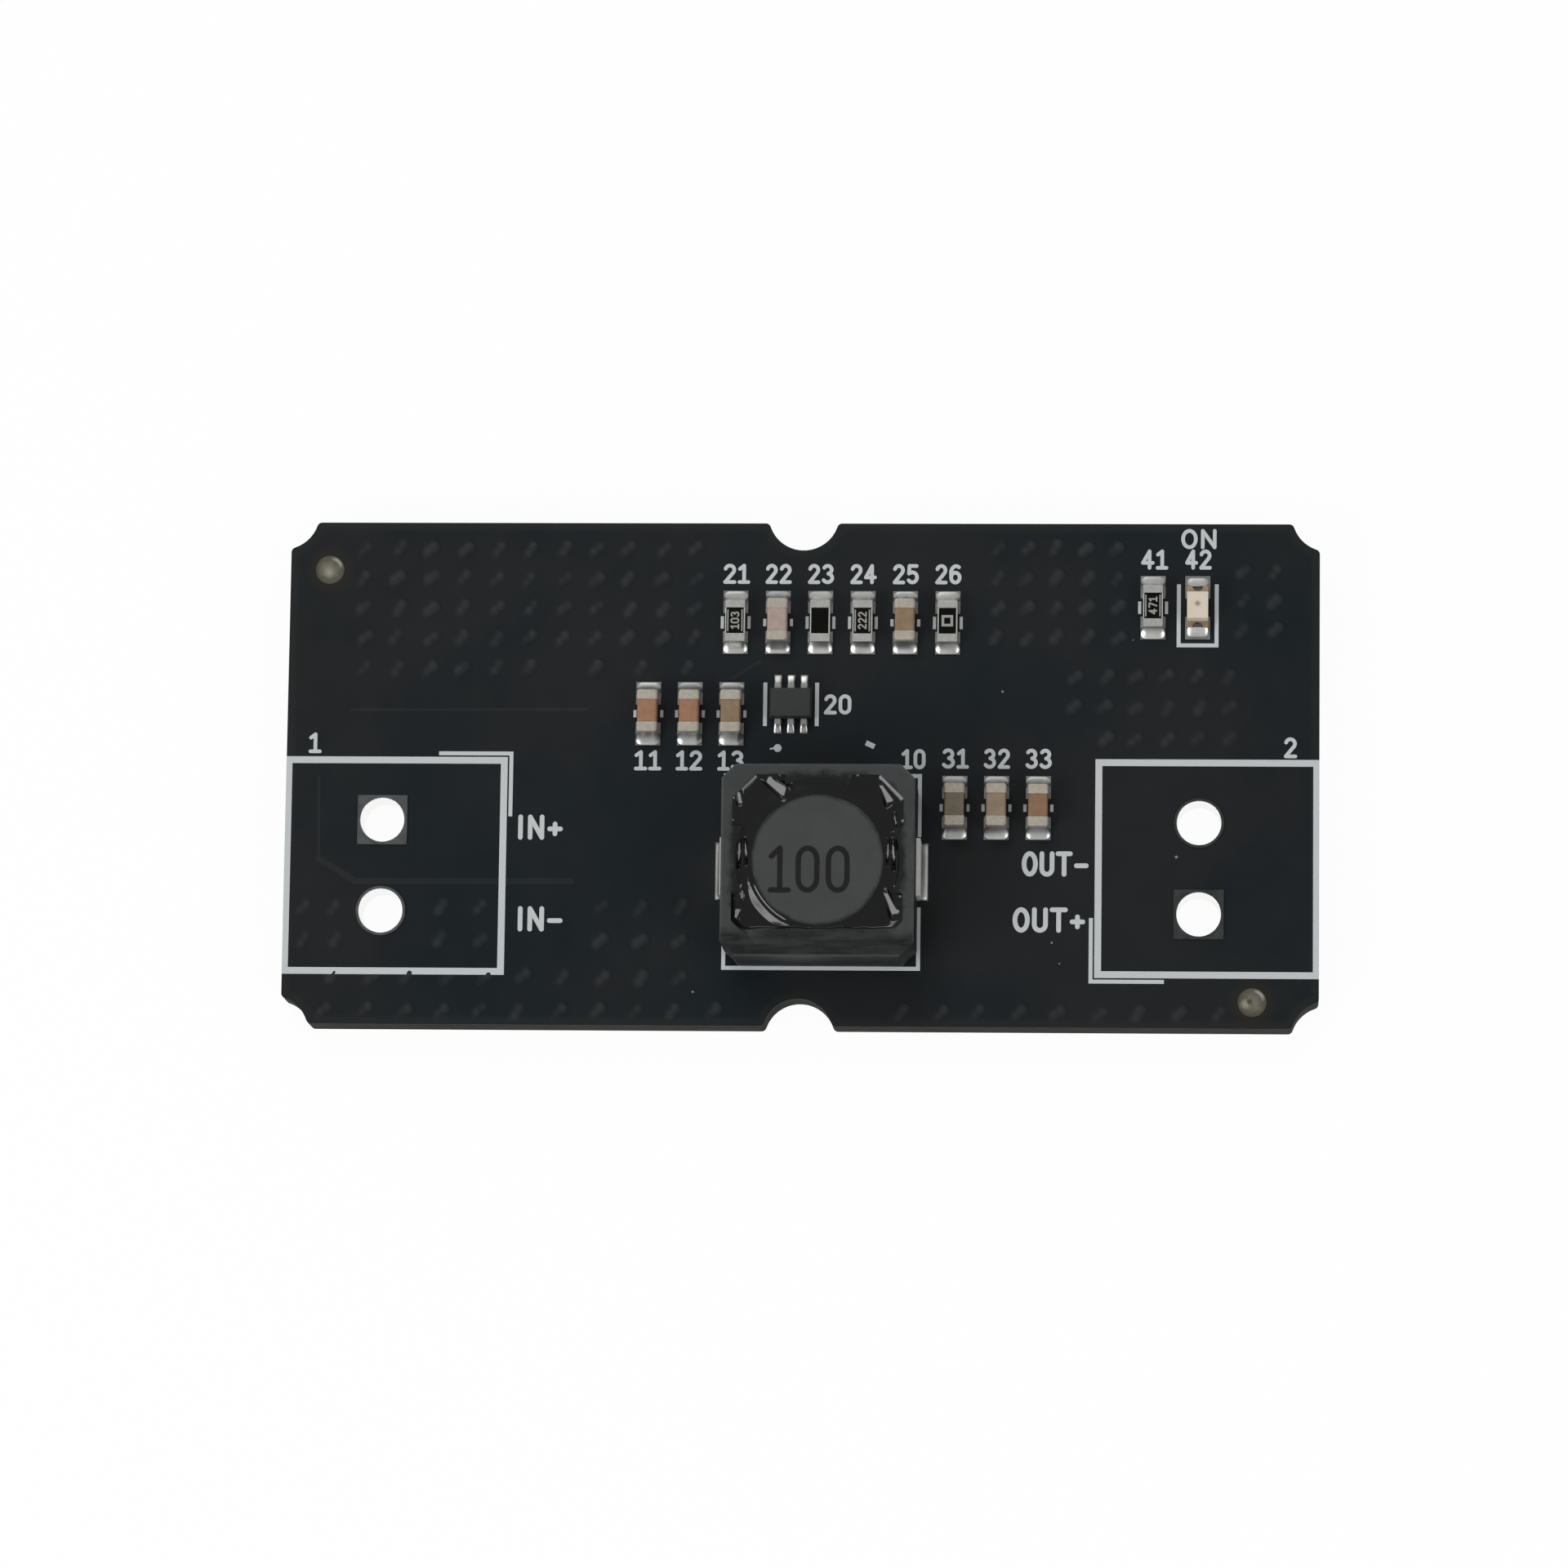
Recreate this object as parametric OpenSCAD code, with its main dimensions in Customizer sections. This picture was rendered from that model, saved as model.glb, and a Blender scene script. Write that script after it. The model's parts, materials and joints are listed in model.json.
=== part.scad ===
// Step-down converter module: a notched circuit board with surface-mounted parts on its top face.
// Millimetres. The board lies flat with its underside on z = 0 and its middle on the Z axis,
// its long side along X. The input holes are at -X and the output holes at +X.

/* [Board] */
// Length of the board along X
board_l = 39.4; // [37:0.1:60]
// Width of the board along Y
board_w = 19.4; // [18:0.1:40]
// Thickness of the board
board_t = 1.6; // [0.8:0.1:3.2]
// Radius of the round notches in the long edges and corners
notch_r = 1.35; // [0.8:0.05:1.8]
// Distance of the notch centres outside the board's edges
notch_out = 0.3; // [0:0.05:0.6]
// Radius that rounds the tips beside a notch
notch_tip_r = 0.2; // [0.05:0.05:0.4]

/* [Terminal holes] */
// Diameter inside a plated terminal hole
hole_d = 1.7; // [1:0.1:2.2]
// Distance between the two holes of a pair
hole_pitch = 3.5; // [2.8:0.1:4.2]
// Distance of the input holes from the left edge
input_hole_inset = 3.73; // [3:0.01:5]
// Distance of the output holes from the right edge
output_hole_inset = 4.55; // [3:0.01:5]
// Place of the middle of both pairs along Y
terminal_y = -3.6; // [-4:0.1:2]
// Width of the metal ring around a hole on the top face
hole_ring = 0.1; // [0.05:0.01:0.3]
// Width of the metal ring around a hole on the underside
under_ring = 0.16; // [0.05:0.01:0.4]
// Thickness of the metal rings around the holes
plate_t = 0.05; // [0.02:0.01:0.1]

/* [Copper lands and legend] */
// Height of the lands over the board
land_t = 0.05; // [0.02:0.01:0.1]
// Diameter of the bare aiming discs
fiducial_d = 1.1; // [0.5:0.1:1.5]
// Distance of each aiming disc from the board's short edge
fiducial_inset_x = 1.51; // [1.4:0.01:2.5]
// Distance of the upper disc from the long edge behind it
fiducial_inset_y = 1.85; // [1.7:0.01:3]
// Distance of the lower disc from the long edge in front of it
fiducial_front_y = 1.0; // [0.8:0.01:3]
// Distance of the lower disc from the right edge
fiducial_front_x = 2.52; // [2.2:0.01:4]
// Thickness of the printed legend
legend_t = 0.02; // [0.01:0.01:0.04]
// Width of the fine legend lines
fine_line = 0.15; // [0.1:0.01:0.2]
// Width of the terminal block outlines
block_line = 0.26; // [0.15:0.01:0.4]
// Width of the corner markers beside the block outlines
marker_line = 0.15; // [0.1:0.01:0.3]
// Gap between a block outline and the corner marker beside it
marker_gap = 0.06; // [0.03:0.01:0.1]
// Length of a terminal block outline along X
block_l = 8.26; // [6:0.01:8.6]
// Width of a terminal block outline along Y
block_w = 8.13; // [7.6:0.01:9]
// Gap between a block outline and the board's short edge
block_edge_gap = 0.1; // [0:0.01:0.3]
// Length of a corner marker along X
marker_l = 2.85; // [1:0.05:4]
// Length of a corner marker along Y
marker_w = 2.5; // [1:0.05:3]
// Gap that the printed ink keeps from an aiming disc
ink_gap = 0.1; // [0.05:0.01:0.2]
// Gap between a chip part and the printed ticks beside it
tick_gap = 0.05; // [0.03:0.01:0.1]
// Width of a printed tick
tick_w = 0.12; // [0.08:0.01:0.15]
// Length of the ticks beside a capacitor
capacitor_tick_l = 0.28; // [0.2:0.02:0.5]
// Length of the ticks beside a resistor
resistor_tick_l = 0.48; // [0.3:0.02:0.6]
// Width of the printed frame around the indicator lamp
lamp_frame_w = 1.44; // [1.3:0.01:1.6]
// Length of the printed frame around the indicator lamp
lamp_frame_l = 2.9; // [2.8:0.01:3.2]
// How far that frame reaches down its long sides from its rear corners
lamp_frame_open = 0.54; // [0.3:0.01:1]
// Distance of the printed lines beside the regulator from its body
regulator_line_gap = 0.19; // [0.15:0.01:0.3]
// How far those lines reach past the body
regulator_line_out = 0.24; // [0.1:0.01:0.4]
// Gap between the inductor's printed box and its clip terminals
clip_line_gap = 0.25; // [0.15:0.01:0.5]

/* [Chip parts] */
// Length of a chip part
chip_l = 1.6; // [1.5:0.05:1.8]
// Width of a chip part
chip_w = 0.8; // [0.7:0.05:0.85]
// Height of a capacitor
capacitor_h = 0.8; // [0.5:0.05:1.2]
// Height of the two tall output capacitors
tall_capacitor_h = 0.95; // [0.5:0.05:1.2]
// Height of a resistor
resistor_h = 0.45; // [0.3:0.05:0.6]
// Length of a capacitor's end cap
cap_band = 0.36; // [0.2:0.02:0.5]
// Length of a resistor's end terminal
resistor_band = 0.3; // [0.2:0.02:0.4]
// Thickness of the metal on the ends
end_metal_t = 0.03; // [0.02:0.01:0.05]
// Corner radius of a ceramic body
ceramic_r = 0.08; // [0.04:0.01:0.12]
// Length over both lands of a chip part
land_span = 2.45; // [2.3:0.05:2.7]
// Gap between the two lands of a chip part
land_gap = 0.7; // [0.5:0.05:0.9]
// Width of a land
land_w = 0.95; // [0.9:0.01:1]
// Gap between a resistor's dark coat and the edges of its plate
coat_inset = 0.04; // [0.02:0.01:0.08]
// Thickness of a resistor's dark coat
coat_t = 0.024; // [0.01:0.002:0.03]
// Share of a part's height that its solder climbs
solder_climb = 0.6; // [0.3:0.05:0.9]
// Place of the first part of the control row along X
control_row_x = -2.57; // [-3:0.01:-2.2]
// Place of the control row along Y
control_row_y = 5.84; // [5.7:0.01:6.4]
// Distance between parts in the control row
control_pitch = 1.622; // [1.4:0.001:1.8]
// Place of the first input capacitor along X
input_row_x = -5.86; // [-6.5:0.01:-5.6]
// Place of the input capacitors along Y
input_row_y = 2.29; // [2.1:0.01:2.8]
// Place of the first output capacitor along X
output_row_x = 5.87; // [5.7:0.01:6.2]
// Place of the output capacitors along Y
output_row_y = -1.3; // [-3:0.01:1]
// Distance between neighbouring capacitors
capacitor_pitch = 1.59; // [1.4:0.01:1.7]
// Place of the indicator lamp along X
lamp_x = 15.06; // [15:0.01:16]
// Place of the indicator lamp and its resistor along Y
lamp_y = 6.45; // [6:0.01:6.6]
// Distance from the lamp to its resistor
lamp_pitch = 1.7; // [1.6:0.01:2.2]

/* [Indicator lamp] */
// Thickness of the lamp's base
lamp_base_t = 0.25; // [0.15:0.01:0.4]
// Height of the lens over the base
lens_h = 0.4; // [0.3:0.01:0.6]
// Length of the lens
lens_l = 1.12; // [0.9:0.02:1.2]
// Radius of the half-round notch at each end of the base
lamp_notch_r = 0.2; // [0.1:0.01:0.25]
// How far the lens's ends lean in at its top
lens_lean = 0.05; // [0.02:0.01:0.1]
// Side of the light-giving die
die_w = 0.24; // [0.15:0.01:0.3]
// Height of the die
die_h = 0.12; // [0.08:0.01:0.2]
// How far the die sits behind the lamp's middle
die_shift = 0.05; // [0:0.01:0.1]

/* [Regulator] */
// Length of the moulded body along X
regulator_l = 1.6; // [1.5:0.05:1.7]
// Width of the moulded body along Y
regulator_w = 1.2; // [1.1:0.05:1.4]
// Height of the moulded body
regulator_h = 0.55; // [0.45:0.05:0.8]
// Distance between leads
lead_pitch = 0.5; // [0.4:0.05:0.55]
// Width of a lead
lead_w = 0.22; // [0.15:0.01:0.28]
// Thickness of a lead
lead_t = 0.14; // [0.1:0.01:0.18]
// How far the leads reach past the body
lead_reach = 0.2; // [0.15:0.01:0.3]
// How far the leads reach into the body
lead_hold = 0.15; // [0.1:0.01:0.25]
// How far a lead's land is wider than the lead on each side
lead_land_side = 0.03; // [0.01:0.01:0.05]
// How far a lead's land sticks out past the lead's end
lead_land_out = 0.33; // [0.2:0.01:0.4]
// How far the moulded body narrows from its parting line to its top
draft = 0.06; // [0.03:0.01:0.1]
// Place of the regulator along X
regulator_x = -0.41; // [-0.6:0.01:-0.2]
// Place of the regulator along Y
regulator_y = 2.67; // [2.4:0.01:2.8]

/* [Power inductor] */
// Side of the square shield
shield_w = 7.3; // [7:0.05:7.5]
// Height of the shield
shield_h = 3.0; // [2.6:0.1:4.5]
// Chamfer of the shield's upright corners
shield_corner = 0.55; // [0.2:0.05:0.9]
// Chamfer around the shield's top face
shield_edge = 0.08; // [0.04:0.01:0.15]
// Thinnest wall of the shield, beside its round bore
shield_wall = 0.55; // [0.45:0.05:0.7]
// Wall left beside the glue pockets in the shield's corners
pocket_wall = 0.42; // [0.35:0.01:0.5]
// Chamfer in the far corner of a glue pocket
pocket_corner = 0.9; // [0.6:0.05:1.2]
// Half width of the bore's round stretch between two glue pockets
pocket_start = 1.25; // [1:0.05:1.6]
// Gap around the drum core's flanges in the shield's bore
drum_gap = 0.45; // [0.35:0.05:0.7]
// Thickness of a flange
flange_t = 0.65; // [0.4:0.05:0.8]
// Diameter of the drum core's post
post_d = 2.4; // [1.6:0.1:3]
// Depth of the drum's top face under the shield's top
core_drop = 0.1; // [0:0.05:0.3]
// Bevel of a flange's rim
flange_bevel = 0.15; // [0.05:0.01:0.2]
// Diameter of the enamelled wire
wire_d = 0.34; // [0.2:0.02:0.4]
// Depth of the wound turns under the flanges' rims
winding_inset = 0.2; // [0.1:0.05:0.4]
// Clearance around the glue and between the turns and the flanges
seat_gap = 0.02; // [0.01:0.01:0.04]
// Depth of the glue's face under the shield's top in the corner pockets
glue_drop = 0.12; // [0.02:0.01:0.3]
// Depth of the glue's face under the shield's top in the gap around the drum
gap_glue_drop = 0.35; // [0.2:0.01:0.5]
// Width of a clip terminal
clip_w = 2.2; // [1.6:0.1:2.4]
// Thickness of a clip terminal
clip_t = 0.15; // [0.1:0.01:0.2]
// How far a clip climbs the shield's side
clip_rise = 1.2; // [0.6:0.1:2]
// How far a clip reaches in under the shield
clip_reach = 1.9; // [1.7:0.05:2.4]
// How far the inductor's lands stick out past its clips
inductor_land_out = 0.25; // [0.15:0.05:0.4]
// Gap between the shield and its printed box
inductor_box_gap = 0.05; // [0:0.01:0.15]
// Place of the inductor along X
inductor_x = 0.84; // [0.7:0.01:1]
// Place of the inductor along Y
inductor_y = -3.78; // [-4:0.01:-3.6]

/* [Hidden] */
$fn = 48;
eps = 0.01;
cut = 1;
// Radius of a solder joint's hollow face as a share of its slant
hollow = 0.8;
// Solder at a thin metal end stops this share of the way up, and this far inside its land
thin_climb = 0.9;
land_edge = 0.02;
land_z = board_t + land_t;

// Name, middle X, middle Y and height of every capacitor
CAPACITORS = [
    for (i = [0:2]) [str("input_capacitor_", i + 1),
        input_row_x + i * capacitor_pitch, input_row_y, capacitor_h],
    for (i = [0:2]) [str("output_capacitor_", i + 1),
        output_row_x + i * capacitor_pitch, output_row_y, i < 2 ? tall_capacitor_h : capacitor_h],
    for (i = [0:1]) [str("control_capacitor_", i + 1),
        control_row_x + [1, 4][i] * control_pitch, control_row_y, capacitor_h]
];
// The same for every resistor
RESISTORS = [
    for (i = [0:3]) [str("control_resistor_", i + 1),
        control_row_x + [0, 2, 3, 5][i] * control_pitch, control_row_y, resistor_h],
    ["lamp_resistor", lamp_x - lamp_pitch, lamp_y, resistor_h]
];
CHIPS = concat(CAPACITORS, RESISTORS);

// Solder joints: each group of chip parts shares one node
SOLDER = [
    ["input_capacitor_solder", [for (i = [0:2]) CAPACITORS[i]]],
    ["output_capacitor_solder", [for (i = [3:5]) CAPACITORS[i]]],
    ["control_row_solder", concat([for (i = [6:7]) CAPACITORS[i]], [for (i = [0:3]) RESISTORS[i]])],
    ["lamp_resistor_solder", [RESISTORS[4]]]
];

// Board
notch_x = board_l / 2 + notch_out;
notch_y = board_w / 2 + notch_out;
tip_x = sqrt(pow(notch_r + notch_tip_r, 2) - pow(notch_out + notch_tip_r, 2));
sharp_tip_x = sqrt(pow(notch_r, 2) - pow(notch_out, 2));
top_ring_r = hole_d / 2 + hole_ring;
under_ring_r = hole_d / 2 + under_ring;
input_x = -board_l / 2 + input_hole_inset;
output_x = board_l / 2 - output_hole_inset;

// The square ring marks the first hole: the rear one of the input pair, the front one of the output
HOLES = [
    [input_x, terminal_y + hole_pitch / 2, true],
    [input_x, terminal_y - hole_pitch / 2, false],
    [output_x, terminal_y + hole_pitch / 2, false],
    [output_x, terminal_y - hole_pitch / 2, true]
];

// Chip parts
land_l = (land_span - land_gap) / 2;
ceramic_l = chip_l - 2 * end_metal_t;
ceramic_w = chip_w - 2 * end_metal_t;
chip_z = land_z;
lens_z = chip_z + lamp_base_t - end_metal_t;

// Regulator
lead_land_w = lead_w + 2 * lead_land_side;
parting = regulator_h * 0.4;

// Inductor, from the lands up
clip_z = land_z;
shield_z = clip_z + clip_t;
shield_top = shield_z + shield_h;
shield_bore_d = shield_w - 2 * shield_wall;
flange_d = shield_bore_d - 2 * drum_gap;
core_top = shield_top - core_drop;
core_h = core_top - shield_z;
window_h = core_h - 2 * flange_t;
bore_r = shield_bore_d / 2;
pocket_half = shield_w / 2 - pocket_wall;
clip_out = shield_w / 2 + clip_t;
inductor_land_x = clip_out + inductor_land_out;
clip_in = shield_w / 2 - clip_reach;
turns = max(1, floor((window_h - 2 * seat_gap) / wire_d));
winding_r = flange_d / 2 - winding_inset;
wire_end_d = wire_d * 0.9;

// ---------- helpers ----------

// A rectangle around the origin with rounded corners
module rounded_rect(w, h, r) {
    square([w - 2 * r, h], center = true);
    square([w, h - 2 * r], center = true);
    for (x = [-1, 1], y = [-1, 1])
        translate([x * (w / 2 - r), y * (h / 2 - r)]) circle(r);
}

// A block that stands on z = 0, with the four edges along Y rounded and its upright corners rounded
module soft_block(l, w, h, r) {
    intersection() {
        translate([0, l / 2, h / 2]) rotate([90, 0, 0]) linear_extrude(l) rounded_rect(w, h, r);
        linear_extrude(h) rounded_rect(w, l, r);
    }
}

// Copies at both ends of a part that lies along Y
module both_ends() {
    children();
    mirror([0, 1, 0]) children();
}

// Copies in all four quadrants
module all_quadrants() {
    for (mx = [0, 1], my = [0, 1]) mirror([mx, 0, 0]) mirror([0, my, 0]) children();
}

// Centre of a circle of radius r that passes through (0, b) and (a, 0) and bulges to the origin
function hollow_centre(a, b, r) =
    let (half = sqrt(a * a + b * b) / 2, away = sqrt(r * r - half * half))
    [a / 2 + away * b / (2 * half), b / 2 + away * a / (2 * half)];

// Section of a solder joint: a foot of length a on the land, a height b up the part, a hollow face
module solder_section(a, b) {
    r = hollow * sqrt(a * a + b * b);
    difference() {
        polygon([[0, 0], [a, 0], [0, b]]);
        translate(hollow_centre(a, b, r)) circle(r);
    }
}

// A solder joint of width w against the +Y side of a wall at y = 0
module solder_joint(w, a, b) {
    rotate([90, 0, 90]) translate([0, 0, -w / 2]) linear_extrude(w) solder_section(a, b);
}

// ---------- board ----------

// What is cut off a tip beside a notch whose centre is the origin: the board is below y = -notch_out
module tip_cut() {
    difference() {
        polygon([
            [tip_x, -notch_out],
            [tip_x, -notch_out + eps],
            [sharp_tip_x, -notch_out + eps],
            [tip_x, -notch_out - notch_tip_r] * notch_r / (notch_r + notch_tip_r),
            [tip_x, -notch_out - notch_tip_r]
        ]);
        translate([tip_x, -notch_out - notch_tip_r]) circle(notch_tip_r);
    }
}

module board_outline() {
    difference() {
        square([board_l, board_w], center = true);
        for (x = [-1, 0, 1], y = [-1, 1]) translate([x * notch_x, y * notch_y]) circle(notch_r);
        for (m = [0, 1]) mirror([0, m]) {
            translate([0, notch_y]) {
                tip_cut();
                mirror([1, 0]) tip_cut();
            }
            for (k = [0, 1]) mirror([k, 0]) translate([-notch_x, notch_y]) {
                tip_cut();
                rotate(90) mirror([1, 0]) tip_cut();
            }
        }
    }
}

// The outline of the metal around a hole: r is its radius or half its side
module ring_outline(square_ring, r) {
    if (square_ring) square(2 * r, center = true);
    else circle(r);
}

module circuit_board() {
    color([0.13, 0.15, 0.16])
    difference() {
        linear_extrude(board_t) board_outline();
        for (h = HOLES) translate([h[0], h[1], 0]) {
            translate([0, 0, -cut]) cylinder(d = hole_d, h = board_t + 2 * cut);
            translate([0, 0, -cut]) linear_extrude(cut + plate_t) ring_outline(h[2], under_ring_r);
        }
    }
}

// The metal of a plated hole: a ring on the board's top face and one let into its underside
module hole_plating(h) {
    for (ring = [[0, under_ring_r], [board_t, top_ring_r]])
        translate([h[0], h[1], ring[0]]) linear_extrude(plate_t) difference() {
            ring_outline(h[2], ring[1]);
            circle(d = hole_d);
        }
}

module input_hole_plating() {
    color([0.66, 0.66, 0.64]) for (i = [0, 1]) hole_plating(HOLES[i]);
}

module output_hole_plating() {
    color([0.66, 0.66, 0.64]) for (i = [2, 3]) hole_plating(HOLES[i]);
}

// Outlines of the two bare aiming discs
module aiming_discs(d) {
    translate([-board_l / 2 + fiducial_inset_x, board_w / 2 - fiducial_inset_y]) circle(d = d);
    translate([board_l / 2 - fiducial_front_x, -board_w / 2 + fiducial_front_y]) circle(d = d);
}

module fiducials() {
    color([0.55, 0.5, 0.36]) translate([0, 0, board_t]) linear_extrude(land_t / 2)
        aiming_discs(fiducial_d);
}

// The six leads of the regulator share their places with its lands and solder
module at_leads() {
    translate([regulator_x, regulator_y, 0]) both_ends()
        for (i = [-1:1]) translate([i * lead_pitch, 0, 0]) children();
}

module chip_lands() {
    both_ends() translate([-land_w / 2, land_gap / 2, 0]) cube([land_w, land_l, land_t]);
}

module solder_lands() {
    color([0.68, 0.68, 0.66]) translate([0, 0, board_t]) {
        for (c = CHIPS) translate([c[1], c[2], 0]) chip_lands();
        translate([lamp_x, lamp_y, 0]) chip_lands();
        at_leads() translate([-lead_land_w / 2, regulator_w / 2 + land_edge, 0])
            cube([lead_land_w, lead_reach - land_edge + lead_land_out, land_t]);
        translate([inductor_x, inductor_y, 0]) for (m = [0, 1]) mirror([m, 0, 0])
            translate([clip_in, -clip_w / 2, 0])
                cube([inductor_land_x - clip_in, clip_w, land_t]);
    }
}

// ---------- legend ----------

// The hollow outline of a box of size w by h whose lines are centred on its sides
module outline(w, h, line) {
    difference() {
        square([w + line, h + line], center = true);
        square([w - line, h - line], center = true);
    }
}

// A terminal block outline with the corner marker outside its corner at +X and +Y
module block_legend() {
    step = (block_line + marker_line) / 2 + marker_gap;
    outline(block_l, block_w, block_line);
    translate([block_l / 2 + step + marker_line / 2 - marker_l, block_w / 2 + step - marker_line / 2])
        square([marker_l, marker_line]);
    translate([block_l / 2 + step - marker_line / 2, block_w / 2 + step + marker_line / 2 - marker_w])
        square([marker_line, marker_w]);
}

// The printed ticks on both sides of a chip part
module chip_ticks(tick_l) {
    for (s = [-1, 1]) translate([s * (chip_w / 2 + tick_gap + tick_w / 2), 0])
        square([tick_w, tick_l], center = true);
}

module inductor_legend() {
    side = shield_w + 2 * inductor_box_gap;
    difference() {
        outline(side, side, fine_line);
        square([2 * side, clip_w + 2 * clip_line_gap], center = true);
    }
    translate([0, side / 2]) ink_marks();
}

// Two small ink marks behind the inductor's box: a dot with a tail and a slanted dash
module ink_marks() {
    dot = [-1.74, 1.06];
    tail = [0.3, fine_line * 0.4];
    dash = [1.79, 1.2];
    translate(dot) circle(fine_line);
    translate([dot[0] - fine_line, dot[1]]) rotate(15) square(tail, center = true);
    translate(dash) rotate(-25) square([0.36, 0.2], center = true);
}

module lamp_legend() {
    difference() {
        outline(lamp_frame_w, lamp_frame_l, fine_line);
        translate([-lamp_frame_w, lamp_frame_l / 2 - lamp_frame_open])
            square([2 * lamp_frame_w, lamp_frame_l]);
    }
}

module board_legend() {
    block_x = board_l / 2 - block_edge_gap - block_l / 2;
    color([0.9, 0.91, 0.92]) translate([0, 0, board_t]) linear_extrude(legend_t) intersection() {
        difference() {
            board_outline();
            aiming_discs(fiducial_d + 2 * ink_gap);
        }
        union() {
            translate([-block_x, terminal_y]) block_legend();
            translate([block_x, terminal_y]) rotate(180) block_legend();
            translate([inductor_x, inductor_y]) inductor_legend();
            translate([lamp_x, lamp_y]) lamp_legend();
            for (s = [-1, 1])
                translate([regulator_x + s * (regulator_l / 2 + regulator_line_gap), regulator_y])
                    square([fine_line, regulator_w + 2 * regulator_line_out], center = true);
            for (c = CAPACITORS) translate([c[1], c[2]]) chip_ticks(capacitor_tick_l);
            for (r = RESISTORS) translate([r[1], r[2]]) chip_ticks(resistor_tick_l);
        }
    }
}

// ---------- chip parts ----------

// The ceramic block of a capacitor, standing on z = 0
module ceramic(h) {
    translate([0, 0, end_metal_t]) soft_block(ceramic_l, ceramic_w, h - 2 * end_metal_t, ceramic_r);
}

module capacitor_body(c) {
    color([0.6, 0.44, 0.33]) translate([c[1], c[2], chip_z]) ceramic(c[3]);
}

// Both metal cups on the ends of a capacitor
module capacitor_end_caps(c) {
    color([0.78, 0.76, 0.7]) translate([c[1], c[2], chip_z]) difference() {
        soft_block(chip_l, chip_w, c[3], ceramic_r + end_metal_t);
        ceramic(c[3]);
        cube([2 * chip_w, chip_l - 2 * cap_band, 4 * c[3]], center = true);
    }
}

// The white ceramic plate of a resistor: its coat lies in a shallow step between the terminals
module resistor_plate(h) {
    translate([-ceramic_w / 2, -ceramic_l / 2, end_metal_t])
        cube([ceramic_w, ceramic_l, h - 2 * end_metal_t]);
}

module resistor_body(r) {
    color([0.9, 0.9, 0.87]) translate([r[1], r[2], chip_z]) resistor_plate(r[3]);
}

module resistor_coat(r) {
    coat_l = chip_l - 2 * resistor_band;
    coat_w = ceramic_w - 2 * coat_inset;
    color([0.07, 0.07, 0.07])
        translate([r[1] - coat_w / 2, r[2] - coat_l / 2, chip_z + r[3] - end_metal_t])
            cube([coat_w, coat_l, coat_t]);
}

// Terminals wrap the ends, the top and the underside of the plate, not its sides
module resistor_terminals(r) {
    color([0.75, 0.75, 0.73]) translate([r[1], r[2], chip_z]) difference() {
        translate([0, 0, r[3] / 2]) cube([ceramic_w, chip_l, r[3]], center = true);
        resistor_plate(r[3]);
        cube([2 * chip_w, chip_l - 2 * resistor_band, 4 * r[3]], center = true);
    }
}

module chip_solder(chips) {
    foot = (land_span - chip_l) / 2;
    color([0.72, 0.72, 0.7])
        for (c = chips) translate([c[1], c[2], chip_z]) both_ends()
            translate([0, chip_l / 2, 0]) solder_joint(ceramic_w, foot, c[3] * solder_climb);
}

// ---------- indicator lamp ----------

module lamp_plate() {
    difference() {
        translate([-chip_w / 2, -ceramic_l / 2, end_metal_t])
            cube([chip_w, ceramic_l, lamp_base_t - 2 * end_metal_t]);
        both_ends() translate([0, chip_l / 2, -cut])
            cylinder(r = lamp_notch_r + end_metal_t, h = lamp_base_t + 2 * cut);
    }
}

module lamp_base() {
    color([0.85, 0.8, 0.68]) translate([lamp_x, lamp_y, chip_z]) lamp_plate();
}

// Plated ends: they line the half-round notches and lie on both faces of the base
module lamp_terminals() {
    band = (chip_l - lens_l) / 2;
    color([0.7, 0.62, 0.42]) translate([lamp_x, lamp_y, chip_z]) difference() {
        translate([0, 0, lamp_base_t / 2]) cube([chip_w, chip_l, lamp_base_t], center = true);
        lamp_plate();
        cube([2 * chip_w, chip_l - 2 * band, 2 * cut], center = true);
        both_ends() translate([0, chip_l / 2, -cut]) cylinder(r = lamp_notch_r, h = lamp_base_t + 2 * cut);
    }
}

module lamp_die_block() {
    translate([lamp_x - die_w / 2, lamp_y + die_shift - die_w / 2, lens_z])
        cube([die_w, die_w, die_h]);
}

module lamp_die() {
    color([0.3, 0.28, 0.2]) lamp_die_block();
}

// The clear block over the die: its ends slope, its sides are sawn flat
module lamp_lens() {
    lens_full = lens_h + end_metal_t;
    foot = lens_l / 2;
    top = foot - lens_lean;
    color([0.93, 0.88, 0.8]) difference() {
        translate([lamp_x + chip_w / 2, lamp_y, lens_z]) rotate([90, 0, -90]) linear_extrude(chip_w)
            polygon([[-foot, 0], [foot, 0], [top, lens_full], [-top, lens_full]]);
        lamp_die_block();
    }
}

module lamp_solder() {
    foot = (land_span - chip_l) / 2;
    color([0.72, 0.72, 0.7]) translate([lamp_x, lamp_y, chip_z]) both_ends()
        for (s = [-1, 1]) translate([s * (chip_w / 4 + lamp_notch_r / 2), chip_l / 2, 0])
            solder_joint(chip_w / 2 - lamp_notch_r, foot, lamp_base_t * thin_climb);
}

// ---------- regulator ----------

// Section of the moulded body: widest at its parting line
module moulded_section(w) {
    polygon([
        [-w / 2 + draft / 2, 0], [w / 2 - draft / 2, 0],
        [w / 2, parting], [w / 2 - draft, regulator_h],
        [-w / 2 + draft, regulator_h], [-w / 2, parting]
    ]);
}

// A lead: a flat foot whose inner end is held in the body
module lead() {
    translate([-lead_w / 2, regulator_w / 2 - lead_hold, 0])
        cube([lead_w, lead_hold + lead_reach, lead_t]);
}

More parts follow.
